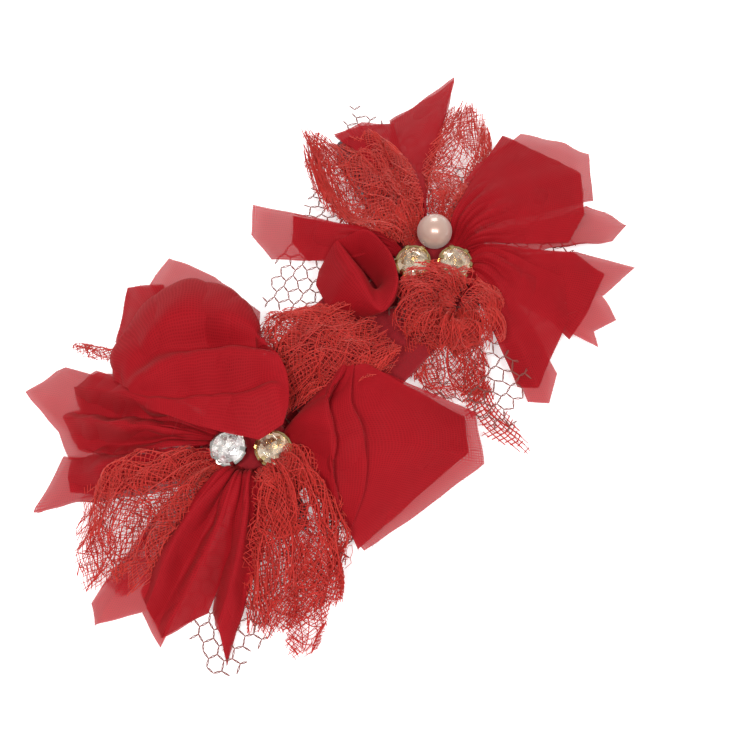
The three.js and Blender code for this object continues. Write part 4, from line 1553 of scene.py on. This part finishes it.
@dataclass
class Flower:
    """One flower: a net skirt, petals of chiffon and lace, the gathering thread and the beads."""

    name: str
    skirt: NetSkirt
    petals: tuple[ChiffonPetal | LacePetal, ...]
    beads: BeadCluster

    def build(self, finishes: Finishes) -> None:
        """Makes every piece of the flower, from the clip and thread outwards.

        Args:
            finishes: The finishes.
        """
        low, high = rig.box(f"{self.name}_centre_felt")
        centre = np.array([(low.x + high.x) / 2, (low.y + high.y) / 2]) / MM
        AlligatorClip().build(self.name, centre, finishes)
        GatherThread().build(self.name, centre, finishes)
        self.skirt.build(self.name, centre, finishes)
        for petal in self.petals:
            petal.build(self.name, centre, finishes)
        self.beads.build(self.name, finishes)


def near_flower() -> Flower:
    """Shapes the near flower: a big lobe folded back over the stones, a pleated right petal and rumpled lace.

    Returns:
        The flower.
    """
    right_top: Ribs = (
        ((16, -4, 20), (24, -5, 22.5), (23.6, -4.8, 21.4), (25.6, -6.2, 22.6), (25.3, -6, 21.8),
         (27, -7, 22), (28, -8, 22)),
        ((9, -5, 22), (14.5, -9, 26), (13.5, -8.3, 22.8), (18.5, -12, 24.8), (17.5, -11.2, 22.2),
         (27, -20, 17), (37, -29, 9)),
        ((7, -9, 22), (9.5, -15, 26), (8.7, -14.2, 22), (14.5, -19, 23.8), (13.6, -18.2, 20.8),
         (23, -27, 16), (31, -35, 9)),
        ((3, -11, 19), (4, -20, 21.5), (3.6, -19.2, 18.5), (8, -25, 19), (7.4, -24.2, 16.8), (11, -29, 13),
         (14, -33, 9)),
        ((1, -12, 17), (0, -25, 13.5), (0, -24.6, 12.6), (0, -28, 11.4), (0, -27.7, 10.6),
         (-0.5, -29.5, 9), (-1, -31, 7)),
    )
    right_under: Ribs = (
        ((14, -4, 18), (28, -6, 20)),
        ((15, -12, 17), (40, -30, 8)),
        ((12, -16, 17), (32, -39, 7)),
        ((7, -18, 15), (15, -36, 7)),
        ((1, -16, 14), (0, -32, 5)),
    )
    lobe: Ribs = (
        ((10, 4, 20), (13, 10, 24), (14.6, 9.6, 27.8), (15, 7, 29), (14.4, 4, 29.6), (12.6, 0.6, 29.4),
         (10.4, -2, 28.8), (8, -4, 28)),
        ((12, 10, 18), (18, 14, 24), (16.4, 13.6, 27), (14, 11.4, 26.2), (12.8, 8, 30), (8.4, 4.2, 27.4),
         (8.6, 0.4, 29.8), (4.5, -5.6, 27)),
        ((14, 18, 16), (22, 26, 20), (15, 20.5, 27.6), (11, 16.5, 23.6), (9.5, 13, 29.4), (3.4, 7.6, 25.4),
         (4, 3.4, 29.2), (-1, -4, 26)),
        ((12, 24, 15), (20, 37, 16), (11, 28.5, 25), (6, 22.6, 21.4), (5, 18.5, 27), (-1, 12.6, 23.8),
         (-1, 9, 27.6), (-5, 4, 25)),
        ((8, 26, 14), (10, 42, 13), (4, 33, 22), (1, 27.4, 20.8), (0, 23, 25), (-5, 17.8, 22.8),
         (-5, 14, 26), (-8, 11, 24.5)),
        ((2, 26, 14), (-3, 40, 13), (-4, 33.4, 18.6), (-5, 29, 19.6), (-6, 26, 22.8), (-8, 22, 21.8),
         (-8, 19, 24), (-10, 17, 23.5)),
        ((-4, 22, 14), (-9, 32, 15), (-9.5, 30.5, 17), (-10, 28.5, 19), (-10, 27, 20.5), (-11, 25, 20.5),
         (-11, 24, 21), (-11, 23, 20.5)),
    )
    top_sheer: Ribs = (
        ((14, 12, 17), (25, 22, 12)), ((14, 20, 15), (26, 38, 8)), ((11, 25, 14), (23, 51, 6)),
        ((6, 24, 14), (14, 48, 8)),
    )
    top_corner: Ribs = (((6, 24, 14), (16, 45, 9)), ((3, 25, 14), (10, 51, 9)), ((0, 24, 14), (-2, 42, 10)))
    left_top: Ribs = (
        ((-5, 18, 20), (-7, 28, 17), (-10, 39, 12)),
        ((-8, 17, 22), (-12, 29, 19), (-16, 42, 9)),
        ((-9, 15, 18.5), (-14.5, 27, 13), (-18, 38, 5.5)),
        ((-10.5, 13.5, 21.5), (-18, 26, 18), (-22, 38, 8.5)),
        ((-10.5, 12, 18.5), (-18, 22, 12.5), (-24, 33, 4.5)),
        ((-12, 9.5, 20), (-21, 20, 14), (-25, 31, 6)),
    )
    left_sheer: Ribs = (
        ((-6, 22, 17), (-13, 48, 6)), ((-8, 22, 16), (-15, 50, 4)), ((-10, 22, 15), (-23, 52, 3)),
        ((-13, 18, 15), (-25, 38, 5)), ((-14, 13, 15), (-28, 31, 6)),
    )
    low_left: Ribs = (
        ((-12, 9, 19), (-21, 21, 13), (-27, 31, 5)), ((-12.5, 7, 20.5), (-23, 18, 16.5), (-31, 28, 6)),
        ((-13, 5, 18.5), (-24, 15, 13), (-33, 26, 4)), ((-14, 3, 20), (-24, 11.5, 15.5), (-30, 20.5, 7)),
    )
    low_left_sheer: Ribs = (
        ((-12, 9, 17), (-21, 21, 11), (-28, 33, 4)), ((-12.5, 7, 17), (-23, 18, 12), (-34, 31.5, 3)),
        ((-13, 5, 17), (-25, 15, 12), (-41, 29.5, 1.5)), ((-14, 3, 16.5), (-24, 11, 11), (-31, 21, 3.5)),
    )
    bottom_top: Ribs = (
        ((-12, 0, 19), (-24, 0, 14), (-38, -2, 4.5)),
        ((-11, -2, 22), (-24, -3, 19.5), (-40, -6, 7)),
        ((-10.5, -4, 19.5), (-23, -6.5, 14.5), (-41, -9, 3)),
        ((-10, -5, 22), (-22, -9.5, 18), (-42.5, -12.5, 4.5)),
        ((-9, -6, 20), (-19, -12.5, 14), (-32, -16, 5)),
    )
    bottom_sheer: Ribs = (
        ((-12, 3, 17), (-25, 5, 13), (-47, 5, 2)), ((-12, 1, 17), (-26, 2, 13), (-50, 1, 2)),
        ((-12, -2, 17), (-26, -4, 13), (-41, -5, 3)), ((-10, -5, 17), (-24, -9, 12), (-44, -13, 2)),
    )
    point: Ribs = (
        ((-9, -5, 18), (-21, -11, 12), (-31, -16.5, 4)),
        ((-8, -7, 23), (-19, -14.5, 18), (-33, -20.5, 7)),
        ((-7.5, -8, 20), (-18, -16, 13.5), (-37, -26, 1)),
        ((-6, -9, 21.5), (-15, -17.5, 14), (-27, -20.5, 6)),
    )
    lace_left: Ribs = (
        ((-13, 10, 20), (-22, 19, 15), (-32, 24, 4)), ((-15, 8, 22), (-26, 15, 16), (-39, 17, 3)),
        ((-16, 5, 23), (-28, 9, 15), (-45, 8, 2)), ((-16, 2, 22), (-28, 3, 15), (-42, 1, 3)),
        ((-15, -1, 20), (-26, -2, 15), (-37, -4, 6)),
    )
    lace_bottom: Ribs = (
        ((-7, -8, 20), (-17, -15, 16), (-27, -20, 5)), ((-4, -11, 23), (-14, -21, 19), (-28, -26, 3)),
        ((-1, -12, 24), (-10, -25, 18), (-22, -32, 3)), ((2, -12, 23), (-4, -27, 17), (-11, -34, 4)),
        ((5, -12, 20), (1, -24, 15), (-3, -32, 6)),
    )
    lace_corner: Ribs = (
        ((-13, -20, 13), (-20, -27, 5), (-28, -34, 1.5)), ((-10, -22, 13), (-17, -31, 5), (-26, -38, 1.2)),
        ((-7, -24, 12), (-13, -34, 5), (-21, -38, 1.5)),
    )
    shred: Ribs = (
        ((-3, 33, 13), (-8, 43, 8.5), (-9.5, 51, 6)), ((0, 33, 13), (-5.5, 42.5, 10), (-8, 50.5, 6.5)),
        ((1, 34, 12), (-3.5, 43, 8), (-6, 49, 5.5)),
    )
    lace_middle: Ribs = (
        ((13, 12, 21), (22, 17, 17), (28, 18, 14)), ((14, 8, 22), (25, 12, 19), (36, 9, 17)),
        ((16, 4, 23), (27, 4, 21), (39, -1, 17)), ((16, -1, 22), (26, -5, 21), (38, -9, 17)),
        ((15, -4, 20), (24, -9, 20), (32, -13, 18)),
    )
    return Flower("near", NetSkirt(((34, 34), (124, 40), (214, 50), (304, 37))), (
        ChiffonPetal("chiffon_right", (*layers(right_top, 2, crumple=0.2, gathers=2),
                                       Drape(right_under, seed=4))),
        ChiffonPetal("chiffon_top", (*layers(lobe, 2, gathers=3, crumple=0.3), Drape(top_sheer, seed=8),
                                     *layers(top_corner, 2, seed=9))),
        ChiffonPetal("chiffon_left", (*layers(left_top, 2, crumple=0.5), Drape(left_sheer, seed=14))),
        ChiffonPetal("chiffon_low_left", (*layers(low_left, 2, seed=17), Drape(low_left_sheer, seed=19))),
        ChiffonPetal("chiffon_bottom", (*layers(bottom_top, 2, seed=21), Drape(bottom_sheer, seed=24))),
        ChiffonPetal("chiffon_point", layers(point, 3, seed=27)),
        LacePetal("lace_left", layers(lace_left, 3, pleats=2.2, pleat_depth=1.5, crumple=1.2, seed=31)),
        LacePetal("lace_bottom", (
            *layers(lace_bottom, 5, pleats=2.4, pleat_depth=1.6, crumple=1.3, seed=36),
            *layers(lace_corner, 2, gathered=False, gather_depth=0, pleats=1, pleat_depth=0.6, seed=43))),
        LacePetal("lace_middle", (
            *layers(lace_middle, 4, pleats=2, pleat_depth=1.5, crumple=1.2, seed=41),
            *layers(shred, 2, gathered=False, gather_depth=0, pleats=1, pleat_depth=0.8, seed=46))),
    ), BeadCluster(left_is_silver=True))


def nest(middle: tuple[float, float], count: int) -> Ribs:
    """Shapes the loose ring of lace that stands up in front of the far stones and leans over them.

    Args:
        middle: The ring's middle, from the flower's centre.
        count: How many ribs go round, with the last on the first.

    Returns:
        The ribs, from the sunken middle over the rim and down the outside.
    """
    ribs = []
    for heading in np.linspace(0, 2 * math.pi, count):
        squash = 1 - 0.22 * math.cos(heading - math.radians(42)) ** 2
        over_stone = max(math.cos(heading - math.radians(75)), 0) ** 6
        section = ((1.2, 16.0), (3.6, 19.5), (7.2 * squash, 23.0), (10.4 * squash + 2.5 * over_stone, 21.0),
                   (12.2 * squash + 3.5 * over_stone, 16.0 + 6 * over_stone))
        x, y = math.cos(heading), math.sin(heading)
        ribs.append(tuple((middle[0] + reach * x, middle[1] + reach * y, height) for reach,
            height in section))
    return tuple(ribs)


def far_flower() -> Flower:
    """Shapes the far flower: a rolled cone petal, a lace crown, broad right petals and a lace ruffle.

    Returns:
        The flower.
    """
    upper_right_top: Ribs = (
        ((10, 3, 21), (24, 7, 17), (39, 11, 12)), ((11, 1, 22), (26, 2, 18), (41, 2, 12)),
        ((12, -2, 22), (27, -5, 18), (43, -10, 12)), ((11, -5, 21), (22, -11, 18), (34, -18, 13.5)),
        ((9, -7, 20), (17, -14, 17), (25, -20, 14)),
    )
    upper_right_sheer: Ribs = (
        ((10, 4, 19), (26, 9, 15), (44, 9, 9)), ((11, 2, 19), (28, 3, 15), (49, -1, 9)),
        ((12, -1, 19), (28, -4, 15), (51, -7, 8)), ((12, -4, 19), (25, -10, 15), (39, -17, 12)),
    )
    upper_right_tip: Ribs = (
        ((11, -4, 18), (24, -11, 14), (38, -16, 10)), ((10, -5, 18), (24, -14, 14), (42, -26, 7)),
        ((9, -7, 18), (20, -16, 14), (36, -26, 7)), ((8, -8, 18), (16, -15, 15), (25, -20, 13)),
    )
    low_right_top: Ribs = (
        ((9, -8, 20), (16, -15, 17), (24, -22, 13)), ((8, -10, 20), (15, -19, 15), (27, -30, 8)),
        ((6, -11, 20), (11, -21, 13), (18, -33, 7)), ((5, -12, 20), (8, -22, 13), (9, -34, 6)),
    )
    low_right_sheer: Ribs = (
        ((9, -9, 18), (18, -17, 14), (25, -22, 12)), ((8, -10, 18), (18, -20, 13), (35, -34, 5)),
        ((7, -11, 18), (15, -22, 12), (23, -33, 6)), ((6, -11, 18), (12, -23, 11), (21, -39, 4.5)),
        ((5, -12, 17), (9, -23, 11), (15, -37, 5)), ((4, -12, 17), (7, -23, 10), (13, -40, 3.5)),
    )
    low_top: Ribs = (
        ((8, -9, 21), (13, -17, 17), (18, -24, 12)), ((6, -11, 21), (9, -21, 15.5), (12, -31, 8.5)),
        ((3, -12, 20), (3.5, -22, 13), (2, -34, 6.5)), ((1, -12, 20), (0, -22, 13.5), (-4.5, -36, 4.5)),
        ((-1, -12, 18), (-3, -20, 12), (-7, -32, 3)),
    )
    low_sheer: Ribs = (
        ((4, -12, 17), (5, -24, 11), (1, -37, 4.5)), ((2, -12, 17), (1, -24, 10), (-5, -40, 2)),
        ((0, -12, 17), (-2, -22, 9), (-8, -36, 2)),
    )
    left_top: Ribs = (
        ((-5, 12, 21), (-8, 22, 17), (-11, 34, 11)), ((-7, 11, 20), (-12, 21, 16), (-16, 30, 10)),
        ((-9, 9, 20), (-14, 16, 15), (-18, 23, 12)),
    )
    left_sheer: Ribs = (
        ((-5, 12, 20), (-8, 24, 16), (-14, 45, 8)), ((-7, 11, 19), (-12, 23, 15), (-20, 40, 7)),
        ((-9, 9, 19), (-16, 19, 14), (-22, 31, 8)),
    )
    cone: Ribs = (
        ((-12.5, 14, 15), (-12.8, 16, 18.5), (-13, 18, 20.5), (-12.2, 17.4, 19.5), (-10, 15, 15.5)),
        ((-12.4, 12, 15), (-10.4, 13.4, 20), (-8.2, 14, 23), (-7.8, 13.8, 21.8), (-8.4, 12, 16)),
        ((-12.8, 8, 15), (-11, 8.4, 20), (-8.8, 7.4, 24.2), (-8.3, 7.2, 23), (-8.6, 6, 16)),
        ((-13.8, 5, 15), (-13, 3.8, 20), (-12, 1.4, 24.4), (-11.6, 0.8, 23.2), (-11, 1, 16)),
        ((-14.6, 5, 15), (-15.6, 2.6, 20), (-16.6, -1.6, 24), (-16.6, -2.4, 22.8), (-15, 0, 16)),
        ((-14.8, 6, 15), (-16.6, 4, 20), (-20.4, -1, 23), (-21.4, -1, 21.8), (-22, 2, 15)),
        ((-14.2, 8.4, 15), (-14.8, 8.4, 19.6), (-16.8, 8.6, 22.2), (-20.8, 9, 20), (-25.4, 9.6, 15.5)),
        ((-13.4, 12, 15), (-13.6, 13, 19), (-14.8, 14, 21.2), (-18.4, 15, 17.8), (-22, 16.6, 14)),
        ((-12.5, 14, 15), (-12.8, 16, 18.5), (-13, 18, 20.5), (-16, 18.4, 17.4), (-19, 18.6, 13.5)),
    )
    top: Ribs = (
        ((7, 13, 19), (16, 26, 14), (26, 36, 8)), ((8, 12, 20), (20, 24, 13), (46, 32, 9)),
        ((9, 10, 20), (18, 16, 14), (30, 23, 10)),
    )
    back: Ribs = (
        ((6, 14, 18), (11, 28, 14), (13, 43, 9.5)), ((8, 13, 18), (14, 27, 14), (20, 40, 10)),
        ((10, 12, 18), (18, 25, 13.5), (25, 34, 10)),
    )
    crown: Ribs = (
        ((-5, 9, 22), (-6, 20, 16), (-5, 36, 8)), ((-2, 10, 23), (-2, 24, 15), (10, 51, 8)),
        ((1, 11, 23), (6, 24, 16), (12, 42, 9)), ((4, 11, 22), (12, 24, 16), (19, 36, 12)),
        ((8, 10, 22), (15, 20, 18), (18, 28, 15)),
    )
    lace_top: Ribs = (
        ((8, 9, 19), (18, 19, 14), (34, 28, 8)), ((10, 7, 22), (22, 15, 15), (45, 27, 6)),
        ((10, 5, 22), (24, 9, 15), (44, 20, 6)), ((10, 3, 19), (22, 4, 13), (34, 9, 8)),
    )
    leaf: Ribs = (
        ((-6, -14, 15), (-9, -23, 8), (-12.5, -31, 4.5), (-16, -43.5, 1.3)),
        ((-10, -13, 15.5), (-13, -22.5, 8.5), (-17, -32, 4.5), (-17, -44, 1.2)),
        ((-14, -12, 15), (-18, -21, 7), (-22, -30, 3), (-18, -43.5, 1.2)),
    )
    apron: Ribs = (
        ((-11, -5, 16), (-17, -7, 12), (-23, -9, 9)), ((-10, -10, 17), (-17, -14.5, 11), (-24, -18, 7)),
        ((-6, -13, 17), (-13, -21, 10), (-19, -27, 5)), ((-3, -15, 16), (-8, -23, 10), (-13, -30, 5)),
    )
    return Flower("far", NetSkirt(((61, 56), (140, 41), (245, 42), (328, 36)), seed=5), (
        ChiffonPetal("chiffon_upper_right", (*layers(upper_right_top, 2, crumple=0.25, seed=51),
                                             Drape(upper_right_sheer, seed=54), Drape(upper_right_tip,
                                                 seed=55))),
        ChiffonPetal("chiffon_low_right", (*layers(low_right_top, 2, seed=57),
                                           Drape(low_right_sheer, seed=59))),
        ChiffonPetal("chiffon_low", (*layers(low_top, 2, seed=61), Drape(low_sheer, seed=64))),
        ChiffonPetal("chiffon_left", (*layers(left_top, 2, seed=67), Drape(left_sheer, seed=70))),
        ChiffonPetal("chiffon_cone", layers(cone, 3, gathered=False, gathers=0, gather_depth=0,
                                            crumple=0.1, seed=73)),
        ChiffonPetal("chiffon_top", layers(top, 2, seed=77)),
        ChiffonPetal("chiffon_back", layers(back, 2, seed=81)),
        LacePetal("lace_crown", layers(crown, 5, pleats=2.2, pleat_depth=1, crumple=0.7, seed=85)),
        LacePetal("lace_top", layers(lace_top, 3, pleats=1.5, pleat_depth=0.8, seed=91)),
        LacePetal("lace_leaf", layers(leaf, 2, seed=95), 0.11, 0.11, 0.17, one_leaf=True),
        LacePetal("lace_ruffle", (
            *layers(nest((-8.5, -12.5), 13), 3, gathered=False, pleats=6, pleat_depth=1.3, crumple=0.8,
                    seed=98),
            *layers(apron, 3, gathered=False, pleats=2, pleat_depth=1, crumple=1, seed=103))),
    ), BeadCluster(left_is_silver=False))


# ---------------------------------------------------------------- floor, lights and camera


@dataclass
class Studio:
    """A plain white table, soft light from above and a camera that looks down at both flowers."""

    target: tuple[float, float, float] = (-3.1, -13.3, 18.0)  # mm
    azimuth: float = -48.5
    elevation: float = 66.0
    distance: float = 280.0  # mm
    lens: float = 61.5
    table_size: float = 6.0  # m
    sky: float = 0.38

    def build(self) -> None:
        """Makes the table, the lights and the camera."""
        scene = bpy.context.scene
        scene.view_settings.view_transform = "Standard"
        self.table()
        self.lights()
        a, e = math.radians(self.azimuth), math.radians(self.elevation)
        back = Vector((math.sin(a) * math.cos(e), -math.cos(a) * math.cos(e), math.sin(e)))
        camera = bpy.data.objects.new("camera", bpy.data.cameras.new("camera"))
        scene.collection.objects.link(camera)
        camera.location = (Vector(self.target) + back * self.distance) * MM
        camera.rotation_mode = "QUATERNION"
        camera.rotation_quaternion = back.to_track_quat("Z", "Y")
        camera.data.lens = self.lens
        camera.data.clip_start = 0.01
        scene.camera = camera

    def table(self) -> None:
        """Makes the table top: opal acrylic, lit a little from within, so no hard shadow falls on it."""
        half = self.table_size / 2
        mesh = bpy.data.meshes.new("table")
        corners = [(-half, -half, 0), (half, -half, 0), (half, half, 0), (-half, half, 0)]
        mesh.from_pydata(corners, [], [(0, 1, 2, 3)])
        table = bpy.data.objects.new("table", mesh)
        bpy.context.scene.collection.objects.link(table)
        made, tree, output = new_material("opal_acrylic_light_table")
        place = add_node(tree, "ShaderNodeTexCoord")
        grain = add_node(tree, "ShaderNodeTexNoise", None,
                         {"Vector": place.outputs["Object"], "Scale": 1 / (4 * MM)})
        bump = add_node(tree, "ShaderNodeBump", None,
                        {"Height": grain.outputs[0], "Strength": 0.05, "Distance": 0.1 * MM})
        face = add_node(tree, "ShaderNodeBsdfPrincipled", None,
                        {"Base Color": linear("#FAFAFA"), "Roughness": 0.7, "Specular IOR Level": 0.2,
                         "Emission Color": linear("#FFFFFF"), "Emission Strength": 0.4,
                         "Normal": bump.outputs[0]})
        tree.links.new(face.outputs[0], output.inputs[0])
        mesh.materials.append(made)
        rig.stage(table)

    def lights(self) -> None:
        """Makes an even white sky and two soft boxes."""
        world = bpy.data.worlds.new("white_room")
        bpy.context.scene.world = world
        world.use_nodes = True
        background = world.node_tree.nodes["Background"]
        background.inputs[0].default_value = (1, 1, 1, 1)
        background.inputs[1].default_value = self.sky
        for name, place, size, power in (("key_left", (-0.32, -0.12, 0.7), 0.14, 3.2),
                                         ("key_right", (-0.14, -0.34, 0.7), 0.14, 2.6),
                                         ("fill", (0.5, 0.45, 0.5), 0.4, 2.4)):
            light = bpy.data.lights.new(name, "AREA")
            light.size, light.energy = size, power
            made = bpy.data.objects.new(name, light)
            made.location = place
            made.rotation_mode = "QUATERNION"
            made.rotation_quaternion = Vector(place).to_track_quat("Z", "Y")
            bpy.context.scene.collection.objects.link(made)


def main() -> None:
    """Builds the studio, the flowers and the felt, then writes both boxes."""
    logging.basicConfig(level=logging.INFO, format="%(name)s: %(message)s")
    Studio().build()
    finishes = Finishes()
    for flower in (near_flower(), far_flower()):
        flower.build(finishes)
    FeltBacking().build(finishes)
    sizes = {"cad": [list(corner) for corner in CAD_BOX], "visual": [list(corner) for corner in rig.bounds()]}
    with open("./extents.json", "w") as file:
        json.dump(sizes, file)


if __name__ == "__main__":
    main()
